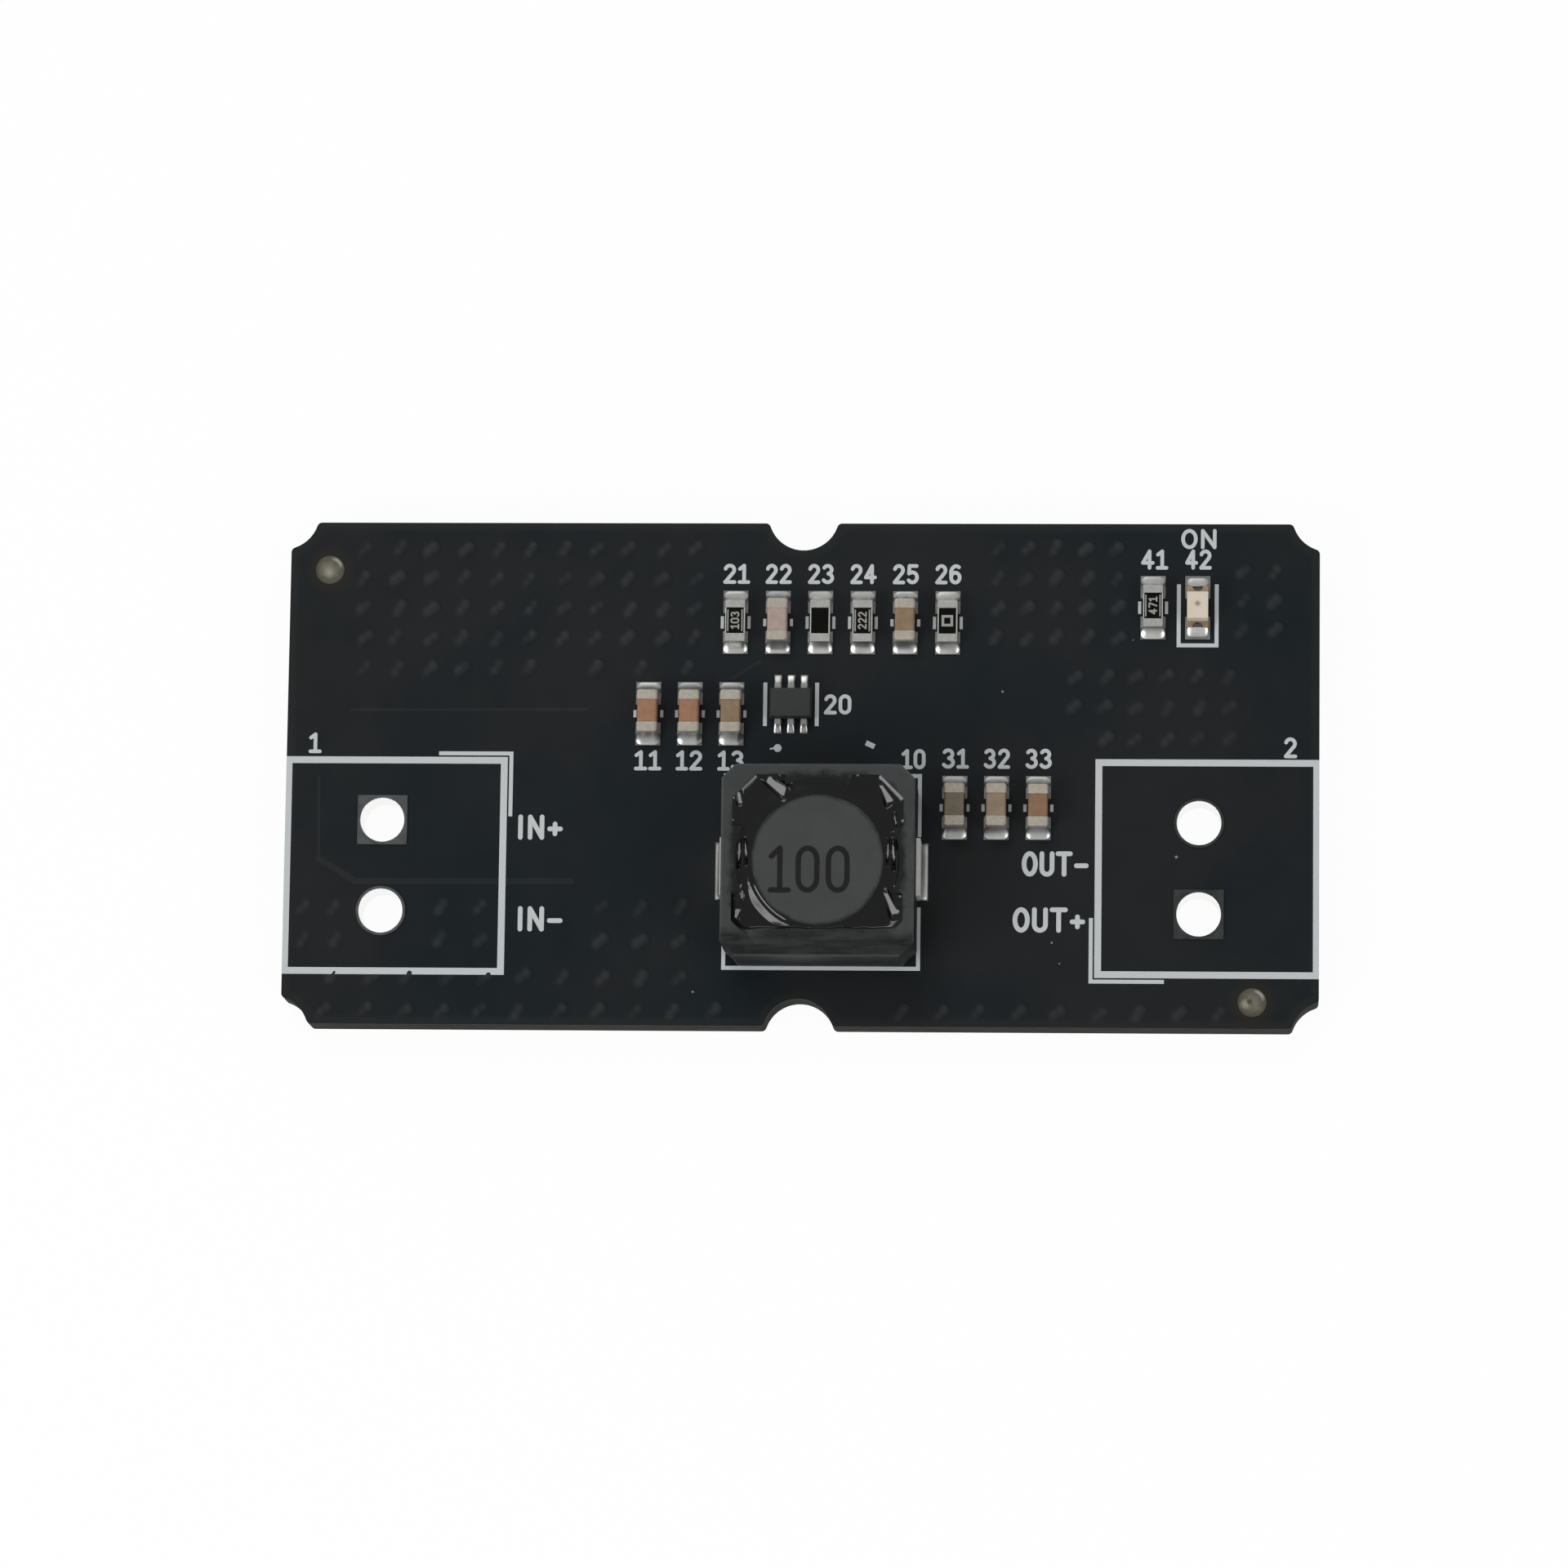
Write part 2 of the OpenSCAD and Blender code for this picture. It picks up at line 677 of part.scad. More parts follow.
module regulator_body() {
    color([0.18, 0.18, 0.18]) difference() {
        translate([regulator_x, regulator_y, chip_z]) intersection() {
            rotate([90, 0, 0]) translate([0, 0, -regulator_w]) linear_extrude(2 * regulator_w)
                moulded_section(regulator_l);
            rotate([90, 0, 90]) translate([0, 0, -regulator_l]) linear_extrude(2 * regulator_l)
                moulded_section(regulator_w);
        }
        translate([0, 0, chip_z]) at_leads() lead();
    }
}

module regulator_leads() {
    color([0.75, 0.75, 0.73]) translate([0, 0, chip_z]) at_leads() lead();
}

module regulator_solder() {
    color([0.72, 0.72, 0.7]) translate([0, 0, chip_z]) at_leads()
        translate([0, regulator_w / 2 + lead_reach, 0])
            solder_joint(lead_w, lead_land_out - land_edge, lead_t * thin_climb);
}

// ---------- power inductor ----------

// A square with chamfered corners around the origin
module chamfered_square(w, c) {
    h = w / 2;
    polygon([[-h + c, -h], [h - c, -h], [h, -h + c], [h, h - c], [h - c, h], [-h + c, h],
        [-h, h - c], [-h, -h + c]]);
}

// The glue pocket in the corner at +X and +Y, open to the bore
module pocket_outline() {
    h = pocket_half;
    polygon([[pocket_start, pocket_start], [h, pocket_start], [h, h - pocket_corner],
        [h - pocket_corner, h], [pocket_start, h]]);
}

module shield_bore() {
    circle(bore_r);
    all_quadrants() pocket_outline();
}

module inductor_shield() {
    color([0.22, 0.24, 0.24]) translate([inductor_x, inductor_y, shield_z]) difference() {
        intersection() {
            linear_extrude(shield_h) chamfered_square(shield_w, shield_corner);
            crossed_chamfers();
        }
        translate([0, 0, -cut]) linear_extrude(shield_h + 2 * cut) shield_bore();
    }
}

// Two crossed prisms: what they share has a chamfer around its top face
module crossed_chamfers() {
    h = shield_w / 2;
    intersection_for (a = [0, 90]) rotate([90, 0, a]) translate([0, 0, -shield_w])
        linear_extrude(2 * shield_w) polygon([[-h, 0], [h, 0], [h, shield_h - shield_edge],
            [h - shield_edge, shield_h], [-h + shield_edge, shield_h], [-h, shield_h - shield_edge]]);
}

// The drum: two bevelled flanges on a post
module inductor_core() {
    r = flange_d / 2;
    b = flange_bevel;
    color([0.27, 0.28, 0.28]) translate([inductor_x, inductor_y, shield_z]) rotate_extrude()
        polygon([[0, 0], [r - b, 0], [r, b], [r, flange_t], [post_d / 2, flange_t],
            [post_d / 2, core_h - flange_t], [r, core_h - flange_t], [r, core_h - b],
            [r - b, core_h], [0, core_h]]);
}

// The wound wire: its outer turns show as ridges, and its two ends drop to the clips
module inductor_winding() {
    r = winding_r - wire_d / 2;
    end_x = (flange_d / 2 + bore_r) / 2;
    wound_h = turns * wire_d;
    z0 = flange_t + (window_h - wound_h) / 2;
    color([0.6, 0.3, 0.12]) translate([inductor_x, inductor_y, shield_z]) {
        rotate_extrude() {
            translate([post_d / 2, z0]) square([r - post_d / 2, wound_h]);
            for (i = [0:turns - 1]) translate([r, z0 + (i + 0.5) * wire_d]) circle(d = wire_d);
        }
        for (s = [-1, 1]) {
            translate([s * r, 0, z0 + wire_d / 2]) rotate([0, s * 90, 0])
                cylinder(d = wire_end_d, h = end_x - r);
            translate([s * end_x, 0, 0]) cylinder(d = wire_end_d, h = z0 + (wire_d + wire_end_d) / 2);
        }
    }
}

// Bent strips that hold the shield's sides and carry it and the drum
module clip_section() {
    difference() {
        translate([clip_in, 0]) square([clip_out - clip_in, clip_t + clip_rise]);
        translate([clip_in - cut, clip_t]) square([clip_reach + cut, clip_rise + cut]);
        // the bend's outer side
        translate([clip_out - clip_t, 0]) difference() {
            translate([0, -eps]) square([clip_t + eps, clip_t + eps]);
            translate([0, clip_t]) circle(clip_t);
        }
    }
}

module inductor_clips() {
    color([0.78, 0.78, 0.75]) translate([inductor_x, inductor_y, clip_z])
        for (m = [0, 1]) mirror([m, 0, 0]) translate([0, clip_w / 2, 0]) rotate([90, 0, 0])
            linear_extrude(clip_w) clip_section();
}

// Glue around the drum's upper flange: it fills the gap and stands higher in the corner pockets
module inductor_glue() {
    glue_z = core_top - flange_t;
    gap_r = flange_d / 2 + seat_gap;
    color([0.04, 0.04, 0.04]) translate([inductor_x, inductor_y, glue_z]) {
        linear_extrude(shield_top - gap_glue_drop - glue_z) difference() {
            circle(bore_r - seat_gap);
            circle(gap_r);
        }
        linear_extrude(shield_top - glue_drop - glue_z) all_quadrants() difference() {
            intersection() {
                pocket_outline();
                square(pocket_half);
            }
            circle(gap_r);
        }
    }
}

module inductor_solder() {
    color([0.72, 0.72, 0.7]) translate([inductor_x, inductor_y, clip_z]) for (m = [0, 1])
        mirror([m, 0, 0]) translate([clip_out, 0, 0]) rotate(-90)
            solder_joint(clip_w, inductor_land_out - land_edge, 2 * clip_t);
}

// ---------- every node ----------

circuit_board();
input_hole_plating();
output_hole_plating();
solder_lands();
fiducials();
board_legend();
for (c = CAPACITORS) {
    capacitor_body(c);
    capacitor_end_caps(c);
}
for (r = RESISTORS) {
    resistor_body(r);
    resistor_coat(r);
    resistor_terminals(r);
}
for (s = SOLDER) {
    chip_solder(s[1]);
}
lamp_base();
lamp_terminals();
lamp_die();
lamp_lens();
lamp_solder();
regulator_body();
regulator_leads();
regulator_solder();
inductor_shield();
inductor_core();
inductor_winding();
inductor_clips();
inductor_glue();
inductor_solder();
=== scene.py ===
"""Looks of the step-down converter module: finishes, solder, print, board relief, light and camera.

Lengths are in millimetres, as in the part's source, apart from the floor and the lamps. Colours are linear.
"""
import json
import math
import random

import bmesh
import bpy
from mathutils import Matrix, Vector, noise


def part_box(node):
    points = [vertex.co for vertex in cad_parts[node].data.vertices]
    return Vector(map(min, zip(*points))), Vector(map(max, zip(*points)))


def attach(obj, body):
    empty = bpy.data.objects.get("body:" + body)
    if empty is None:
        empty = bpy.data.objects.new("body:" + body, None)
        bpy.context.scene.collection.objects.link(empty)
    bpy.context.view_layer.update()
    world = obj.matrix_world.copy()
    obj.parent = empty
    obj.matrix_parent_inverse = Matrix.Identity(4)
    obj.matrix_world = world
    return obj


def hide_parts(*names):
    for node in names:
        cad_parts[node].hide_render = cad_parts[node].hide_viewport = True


MM = 0.001

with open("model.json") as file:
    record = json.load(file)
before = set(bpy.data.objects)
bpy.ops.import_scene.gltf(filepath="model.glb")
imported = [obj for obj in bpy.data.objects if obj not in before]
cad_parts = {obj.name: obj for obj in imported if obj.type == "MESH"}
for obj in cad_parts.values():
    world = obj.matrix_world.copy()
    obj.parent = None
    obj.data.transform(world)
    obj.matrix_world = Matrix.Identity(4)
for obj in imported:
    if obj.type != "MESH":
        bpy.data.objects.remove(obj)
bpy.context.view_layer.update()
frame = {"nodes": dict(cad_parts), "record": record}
NODES = frame["nodes"]


def box_mm(node):
    """Lowest and highest corner of a CAD node."""
    return [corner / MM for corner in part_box(node)]


def middle(node):
    """Middle of a CAD node, seen from above."""
    low, high = box_mm(node)
    return (low.x + high.x) / 2, (low.y + high.y) / 2


def half_length(node):
    """Half a CAD node's length along X."""
    low, high = box_mm(node)
    return (high.x - low.x) / 2


# Heights and places that the pieces share
BOARD_HIGH = box_mm("circuit_board")[1]
BOARD_TOP = BOARD_HIGH.z
INK_TOP = box_mm("board_legend")[1].z
LAND_TOP = box_mm("control_resistor_1_terminals")[0].z
INDUCTOR_X, INDUCTOR_Y = middle("inductor_shield")
SHIELD_TOP, SHIELD_HALF = box_mm("inductor_shield")[1].z, half_length("inductor_shield")
DRUM_TOP, DRUM_R = box_mm("inductor_core")[1].z, half_length("inductor_core")
POCKET_HALF = half_length("inductor_glue")
HOLES = {
    mount["name"]: (mount["pos_m"][0] / MM, mount["pos_m"][1] / MM, mount["dims"]["r_mm"])
    for mount in frame["record"]["mounts"] if mount["kind"] == "bore"
}

# Sizes of the part that the frame doesn't hold
NOTCH_R, NOTCH_OUT = 1.35, 0.3
DISC_D = 1.1
SHIELD_CORNER = 0.55
BORE_R, DRUM_BEVEL = 3.1, 0.15
POCKET_CORNER, POCKET_START = 0.9, 1.25

# How far a skin that lies on a surface reaches down into it
SUNK = 0.002


# ---------- meshes ----------

class Shape:
    """Vertices and faces that several small forms are added to."""

    def __init__(self):
        self.verts = []
        self.faces = []

    def add(self, verts, faces):
        start = len(self.verts)
        self.verts += verts
        self.faces += [[start + i for i in face] for face in faces]

    def grid(self, rows, closed=False):
        """A skin over rows of equally many points; closed joins each row's end to its start."""
        n = len(rows[0])
        steps = n if closed else n - 1
        faces = []
        for j in range(len(rows) - 1):
            for i in range(steps):
                k = (i + 1) % n
                faces.append([j * n + i, j * n + k, (j + 1) * n + k, (j + 1) * n + i])
        self.add([p for row in rows for p in row], faces)


def new_object(name, data):
    obj = bpy.data.objects.new(name, data)
    bpy.context.scene.collection.objects.link(obj)
    return obj


def piece(name, shape, slot, material=None, replaces=(), smooth=True):
    """A mesh piece of the object, in its slot's finish unless it has its own material."""
    mesh = bpy.data.meshes.new(name)
    mesh.from_pydata([Vector(v) * MM for v in shape.verts], [], shape.faces)
    shell = bmesh.new()
    shell.from_mesh(mesh)
    bmesh.ops.recalc_face_normals(shell, faces=shell.faces)
    shell.to_mesh(mesh)
    shell.free()
    for polygon in mesh.polygons:
        polygon.use_smooth = smooth
    mesh.materials.append(material or FINISHES[slot])
    obj = new_object(name, mesh)
    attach(obj, "root")
    if replaces:
        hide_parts(*replaces)


def turn_points(steps):
    """Cosine and sine at equal steps around a circle."""
    return [(math.cos(2 * math.pi * k / steps), math.sin(2 * math.pi * k / steps)) for k in range(steps)]


# ---------- ink ----------

# A corner reaches out by at most half the line's width over this
MITRE_SHARE = 0.6
# A line has a round joint where its path bends by more than this
SHARP_TURN = math.radians(50)
END_FACETS = 8
# How much lower each stretch and each stroke lies than the one before, so that no two tops share a plane
STRETCH_STEP, STROKE_STEP = 0.0004, 0.0015
# A path whose ends are closer than this is closed
TOUCH = 0.001


def side_steps(path, width, closed):
    """Points to the left and right of a path, half a width away."""
    left, right = [], []
    n = len(path)
    for i, p in enumerate(path):
        before = path[i - 1] if i or closed else p
        after = path[(i + 1) % n] if i < n - 1 or closed else p
        into, out = (p - before).normalized(), (after - p).normalized()
        along = (into + out).normalized()
        side = Vector((-along.y, along.x))
        edge = out if after is not p else into
        side *= width / 2 / max(side.dot(Vector((-edge.y, edge.x))), MITRE_SHARE)
        left.append(p + side)
        right.append(p - side)
    return left, right


def loop_band(path, width, bottom, top, shape):
    """A flat printed line along a closed path."""
    left, right = side_steps(path, width, True)
    n = len(path)
    verts = [(p.x, p.y, z) for z in (bottom, top) for side in (left, right) for p in side]
    faces = []
    for i in range(n):
        k = (i + 1) % n
        faces.append([i, k, n + k, n + i])
        faces.append([2 * n + i, 3 * n + i, 3 * n + k, 2 * n + k])
        faces.append([i, 2 * n + i, 2 * n + k, k])
        faces.append([n + i, n + k, 3 * n + k, 3 * n + i])
    shape.add(verts, faces)


def band(path, width, bottom, top, shape):
    """A flat printed line along an open path, with round ends, as a closed solid."""
    left, right = side_steps(path, width, False)

    def round_end(p, start):
        turn = start - p
        angle = math.atan2(turn.y, turn.x)
        turns = [angle - k * math.pi / END_FACETS for k in range(1, END_FACETS)]
        return [p + Vector((math.cos(a), math.sin(a))) * width / 2 for a in turns]

    ring = left + round_end(path[-1], left[-1]) + right[::-1] + round_end(path[0], right[0])
    n = len(ring)
    m = len(left)
    half = END_FACETS - 1
    verts = [(p.x, p.y, bottom) for p in ring] + [(p.x, p.y, top) for p in ring]
    faces = [[i, i + n, (i + 1) % n + n, (i + 1) % n] for i in range(n)]
    # the top and bottom are strips between the two sides, with a fan at each end
    strips = [[i, i + 1, 2 * m + half - 2 - i, 2 * m + half - 1 - i] for i in range(m - 1)]
    ends = [list(range(m - 1, m + half + 1)), list(range(2 * m + half - 1, n)) + [0]]
    for face in strips + ends:
        faces.append([i + n for i in face[::-1]])
        faces.append(face)
    shape.add(verts, faces)


def runs(path):
    """Splits an open path at its sharp corners."""
    parts, start = [], 0
    for i in range(1, len(path) - 1):
        turn = (path[i] - path[i - 1]).angle(path[i + 1] - path[i])
        if turn > SHARP_TURN:
            parts.append(path[start:i + 1])
            start = i
    parts.append(path[start:])
    return parts


def pen_line(path, width, bottom, top, shape):
    """A line of ink: closed where the path ends at its start, and with round joints at sharp corners."""
    if (path[0] - path[-1]).length < TOUCH:
        loop_band(path[:-1], width, bottom, top, shape)
        return
    for n, part in enumerate(runs(path)):
        band(part, width, bottom, top - STRETCH_STEP * n, shape)


# ---------- stroke lettering ----------

def arc(cx, cy, rx, ry, start, end, steps=10):
    """Points on part of an ellipse; angles in degrees, counted anticlockwise from +X."""
    turns = [math.radians(start + (end - start) * k / steps) for k in range(steps + 1)]
    return [(cx + rx * math.cos(a), cy + ry * math.sin(a)) for a in turns]


# Width of a sign's cell and the gap between two cells, where the capital height is 1
CELL_W, CELL_GAP = 0.6, 0.24
# Each sign is a list of strokes in its cell
SIGNS = {
    "0": [arc(0.3, 0.72, 0.26, 0.28, 0, 180) + arc(0.3, 0.28, 0.26, 0.28, 180, 360) + [(0.56, 0.72)]],
    "1": [[(0.08, 0.8), (0.32, 1), (0.32, 0)], [(0.06, 0), (0.56, 0)]],
    "2": [arc(0.3, 0.74, 0.25, 0.26, 165, -35) + [(0.04, 0), (0.57, 0)]],
    "3": [arc(0.28, 0.76, 0.24, 0.24, 150, -80) + arc(0.28, 0.26, 0.28, 0.26, 80, -150)],
    "4": [[(0.4, 0), (0.4, 1), (0.03, 0.3), (0.58, 0.3)]],
    "5": [[(0.53, 1), (0.1, 1), (0.07, 0.54)] + arc(0.28, 0.31, 0.28, 0.31, 115, -145)],
    "6": [arc(0.31, 0.3, 0.26, 0.3, 180, 540, 16), arc(0.35, 0.6, 0.3, 0.4, 55, 180, 8) + [(0.05, 0.3)]],
    "7": [[(0.03, 1), (0.57, 1), (0.22, 0)]],
    "I": [[(0.3, 0), (0.3, 1)]],
    "N": [[(0.04, 0), (0.04, 1), (0.56, 0), (0.56, 1)]],
    "O": [arc(0.3, 0.5, 0.28, 0.5, 90, 450, 20)],
    "T": [[(0.3, 0), (0.3, 1)], [(0, 1), (0.6, 1)]],
    "U": [[(0.05, 1)] + arc(0.3, 0.27, 0.25, 0.27, 180, 360) + [(0.55, 1)]],
    "+": [[(0.06, 0.42), (0.54, 0.42)], [(0.3, 0.18), (0.3, 0.66)]],
    "-": [[(0.06, 0.42), (0.54, 0.42)]],
}
# How much narrower than a cell a sign is set
NARROW = {"I": 0.3, "1": 0.1}


def lettering(shape, text, centre, width, height, stroke, bottom, top, turned=False):
    """Stroke lettering fitted to a width and a capital height around a centre."""
    cells, x = [], 0.0
    for sign in text:
        trim = NARROW.get(sign, 0.0) / 2
        cells.append(x - trim)
        x += CELL_W - 2 * trim + CELL_GAP
    total = x - CELL_GAP
    run, rise = width - stroke, height - stroke
    for sign, x in zip(text, cells):
        for n, line in enumerate(SIGNS[sign]):
            path = []
            for u, v in line:
                p = Vector(((u + x) / total * run - run / 2, v * rise - rise / 2))
                if turned:
                    p = Vector((-p.y, p.x))
                path.append(p + Vector(centre))
            pen_line(path, stroke, bottom, top - STROKE_STEP * n, shape)


# ---------- procedural finishes ----------

class Nodes:
    """Short calls that add nodes to a shader tree; a value is a number, a colour or a node's output."""

    def __init__(self, tree):
        self.tree = tree

    def link(self, value, socket):
        """Feeds a socket from another node, or sets it."""
        if hasattr(value, "is_output"):
            self.tree.links.new(value, socket)
        else:
            socket.default_value = value

    def node(self, kind, inputs, **settings):
        """A new node; inputs gives the name or number of each socket that is fed, and its value."""
        new = self.tree.nodes.new(kind)
        for key, value in settings.items():
            setattr(new, key, value)
        for socket, value in inputs.items():
            self.link(value, new.inputs[socket])
        return new

    def math(self, operation, a, b=0.0):
        return self.node("ShaderNodeMath", {0: a, 1: b}, operation=operation).outputs[0]

    def plus(self, a, b):
        return self.math("ADD", a, b)

    def minus(self, a, b):
        return self.math("SUBTRACT", a, b)

    def times(self, first, *others):
        """All the factors multiplied together."""
        for factor in others:
            first = self.math("MULTIPLY", first, factor)
        return first


class Finish(Nodes):
    """A Principled material whose patterns are measured in millimetres."""

    def __init__(self, name, rough, metal=0.0, **sockets):
        self.material = bpy.data.materials.new(name)
        self.material.use_nodes = True
        super().__init__(self.material.node_tree)
        self.shader = self.tree.nodes["Principled BSDF"]
        for socket, value in {"Roughness": rough, "Metallic": metal, **sockets}.items():
            self.shader.inputs[socket.replace("_", " ")].default_value = value
        self.place = self.node("ShaderNodeTexCoord", {}).outputs["Object"]
        self.normal = None

    def noise(self, size, detail=4.0, rough=0.6, stretch=None):
        """Soft noise from 0 to 1 whose blotches are about this size."""
        place = self.place
        if stretch:
            place = self.node("ShaderNodeMapping", {"Vector": place, "Scale": stretch}).outputs[0]
        inputs = {"Vector": place, "Scale": 1 / (size * MM), "Detail": detail, "Roughness": rough}
        return self.node("ShaderNodeTexNoise", inputs).outputs["Fac"]

    def ramp(self, value, low, high, to_low=0.0, to_high=1.0):
        """A straight stretch of a value from low..high to to_low..to_high, held at both ends."""
        inputs = {"Value": value, "From Min": low, "From Max": high, "To Min": to_low, "To Max": to_high}
        return self.node("ShaderNodeMapRange", inputs).outputs["Result"]

    def blotches(self, size, detail=4.0, to_low=0.0, to_high=1.0):
        """Noise spread from to_low to to_high."""
        return self.ramp(self.noise(size, detail), 0.3, 0.7, to_low, to_high)

    def wander(self, value, size, reach, detail):
        """A value that wavers by at most reach, so that a border drawn with it isn't straight."""
        return self.plus(value, self.ramp(self.noise(size, detail), 0.0, 1.0, -reach, reach))

    def mix(self, share, a, b):
        """Colour a where share is 0 and b where it is 1."""
        a, b = (value if hasattr(value, "is_output") else (*value, 1.0) for value in (a, b))
        return self.node("ShaderNodeMix", {0: share, 6: a, 7: b}, data_type="RGBA").outputs[2]

    def distance(self, x, y, centre_x, centre_y):
        """Distance in the board's plane from a point."""
        dx, dy = self.minus(x, centre_x), self.minus(y, centre_y)
        return self.math("SQRT", self.plus(self.times(dx, dx), self.times(dy, dy)))

    def axes(self):
        """The place's X, Y and Z."""
        split = self.node("ShaderNodeSeparateXYZ", {0: self.place})
        return [self.math("DIVIDE", out, MM) for out in split.outputs]

    def colour(self, value):
        self.link(value, self.shader.inputs["Base Color"])

    def rough(self, value):
        self.link(value, self.shader.inputs["Roughness"])

    def bump(self, height, depth):
        """Relief on top of what there is: a height from 0 to 1 that stands this deep."""
        inputs = {"Height": height, "Distance": depth * MM}
        if self.normal:
            inputs["Normal"] = self.normal
        self.normal = self.node("ShaderNodeBump", inputs).outputs["Normal"]
        self.link(self.normal, self.shader.inputs["Normal"])


def shaded(colour, share):
    """A darker shade of a colour."""
    return [c * share for c in colour]


def disc_places():
    """Middles of the two aiming discs, the rear one first."""
    low, high = box_mm("fiducials")
    r = DISC_D / 2
    return (low.x + r, high.y - r), (high.x - r, low.y + r)


def outline_inset(f, x, y):
    """How far a place on the board lies inside its notched outline."""
    across, along = f.math("ABSOLUTE", x), f.math("ABSOLUTE", y)
    inset = f.math("MINIMUM", f.minus(BOARD_HIGH.x, across), f.minus(BOARD_HIGH.y, along))
    notch_y = BOARD_HIGH.y + NOTCH_OUT
    for side, notch_x in ((across, BOARD_HIGH.x + NOTCH_OUT), (x, 0.0)):
        notch = f.minus(f.distance(side, along, notch_x, notch_y), NOTCH_R)
        inset = f.math("MINIMUM", inset, notch)
    return inset


def solder_mask(name="solder mask", lift=0.0, crest_sheen=0.0):
    """Satin black mask over copper; near the outline the bare laminate shows through.

    lift makes all of it lighter, and crest_sheen only what stands above the board's face: partly a thinner
    mask there, partly a painted highlight.
    """
    f = Finish(name, 0.5, Specular_IOR_Level=0.2)
    x, y, z = f.axes()
    dark, light = (0.0018, 0.006, 0.0082), (0.0078, 0.0086, 0.0096)
    cloud = f.ramp(f.noise(9.0), 0.38, 0.62)
    tone = f.mix(cloud, [c + lift for c in dark], [c + lift for c in light])
    bare_rim = f.ramp(outline_inset(f, x, y), 0.2, 0.38, 0.6, 0.0)
    tone = f.mix(bare_rim, tone, (0.0125, 0.0145, 0.013))
    for disc_x, disc_y in disc_places():
        halo = f.ramp(f.distance(x, y, disc_x, disc_y), 0.62, 1.0, 0.75, 0.0)
        tone = f.mix(halo, tone, (0.0145, 0.0125, 0.0075))
    # what stands above the board's face turns lighter: partly a thinner mask, partly a painted highlight on
    # the swellings
    raised_sheen = f.ramp(z, BOARD_TOP + 0.003, BOARD_TOP + 0.024, 0.0, crest_sheen)
    tone = f.mix(raised_sheen, tone, (0.045, 0.048, 0.048))
    speck = f.ramp(f.noise(0.06, 2.0), 0.68, 0.8, 0.0, 0.25)
    top = f.mix(speck, tone, (0.022, 0.025, 0.026))
    # the sawn side of the laminate has upright fibres and is dull
    fibres = f.noise(0.12, 5.0, stretch=(0.2, 0.2, 3.0))
    side = f.mix(fibres, (0.006, 0.0056, 0.005), (0.016, 0.015, 0.0125))
    face = f.ramp(z, BOARD_TOP - 0.04, BOARD_TOP - 0.02)
    f.colour(f.mix(face, side, top))
    f.rough(f.plus(f.blotches(1.6, 4.0, 0.42, 0.54), f.ramp(face, 0.0, 1.0, 0.42, 0.0)))
    f.bump(f.noise(0.35, 3.0), 0.002)
    f.bump(f.noise(0.06, 2.0), 0.0008)
    return f.material


def legend_ink():
    """White print whose thin spots let the dark mask through."""
    f = Finish("legend ink", 0.62)
    thin = f.ramp(f.noise(0.09, 5.0, 0.7), 0.6, 0.78)
    f.colour(f.mix(thin, (0.47, 0.492, 0.5), (0.26, 0.272, 0.278)))
    f.bump(f.noise(0.05, 3.0), 0.004)
    return f.material


def bare_copper():
    """Dulled gold discs with painted shade towards the rim: each has a painted highlight spot and a second
    painted highlight on its rim, the front one a small dark spot.
    """
    f = Finish("bare copper", 0.5, 0.2)
    x, y, _ = f.axes()
    rear, front = disc_places()
    away = f.math("MINIMUM", f.distance(x, y, *rear), f.distance(x, y, *front))
    tarnish = f.ramp(f.noise(0.25, 5.0, 0.7), 0.35, 0.65)
    tone = f.mix(tarnish, (0.09, 0.086, 0.06), (0.165, 0.158, 0.118))
    # painted shade: each disc darkens towards its rim
    tone = f.mix(f.ramp(away, 0.2, 0.54, 0.0, 0.8), tone, (0.03, 0.028, 0.017))
    rim = f.times(f.ramp(away, 0.36, 0.44), f.ramp(away, 0.47, 0.53, 1.0, 0.0))
    glint_x, glint_y = 0.27, 0.29
    for (disc_x, disc_y), (spot_x, spot_y) in ((rear, (-0.03, -0.1)), (front, (-0.25, -0.06))):
        # a painted highlight spot near each disc's middle, and a second painted highlight on its rim
        spot = f.distance(x, y, disc_x + spot_x, disc_y + spot_y)
        tone = f.mix(f.ramp(spot, 0.04, 0.24, 0.8, 0.0), tone, (0.29, 0.275, 0.215))
        painted_glint = f.distance(x, y, disc_x + glint_x, disc_y + glint_y)
        tone = f.mix(f.times(rim, f.ramp(painted_glint, 0.12, 0.3, 0.8, 0.0)), tone, (0.33, 0.34, 0.3))
    dark_spot = f.distance(x, y, front[0] - 0.1, front[1] + 0.03)
    tone = f.mix(f.ramp(dark_spot, 0.05, 0.14, 0.85, 0.0), tone, (0.03, 0.026, 0.012))
    f.colour(tone)
    f.bump(f.noise(0.05), 0.004)
    return f.material


def bright_lining():
    """Freshly tinned inside of a plated hole."""
    f = Finish("bright lining", 0.24, 1.0)
    f.colour(f.mix(f.noise(0.3, 3.0), (0.9, 0.9, 0.89), (0.97, 0.97, 0.96)))
    f.bump(f.noise(0.5, 2.0), 0.0004)
    return f.material


def metal(name, dark, light, rough, grain, depth):
    """A bare metal surface: two close tones and a fine uneven relief."""
    f = Finish(name, rough, 1.0)
    f.colour(f.mix(f.blotches(grain), dark, light))
    f.rough(f.blotches(grain * 1.7, 3.0, rough * 0.8, rough * 1.25))
    f.bump(f.noise(grain * 0.6, 3.0), depth)
    return f.material


def tinned_ends(name="tinned ends", dark=(0.36, 0.325, 0.27), light=(0.47, 0.43, 0.365)):
    """Matte tin over fired metal: a dull, slightly yellow skin."""
    f = Finish(name, 0.5, 0.45)
    f.colour(f.mix(f.blotches(0.12), dark, light))
    f.rough(f.blotches(0.2, 3.0, 0.38, 0.58))
    f.bump(f.noise(0.08, 3.0), 0.003)
    return f.material


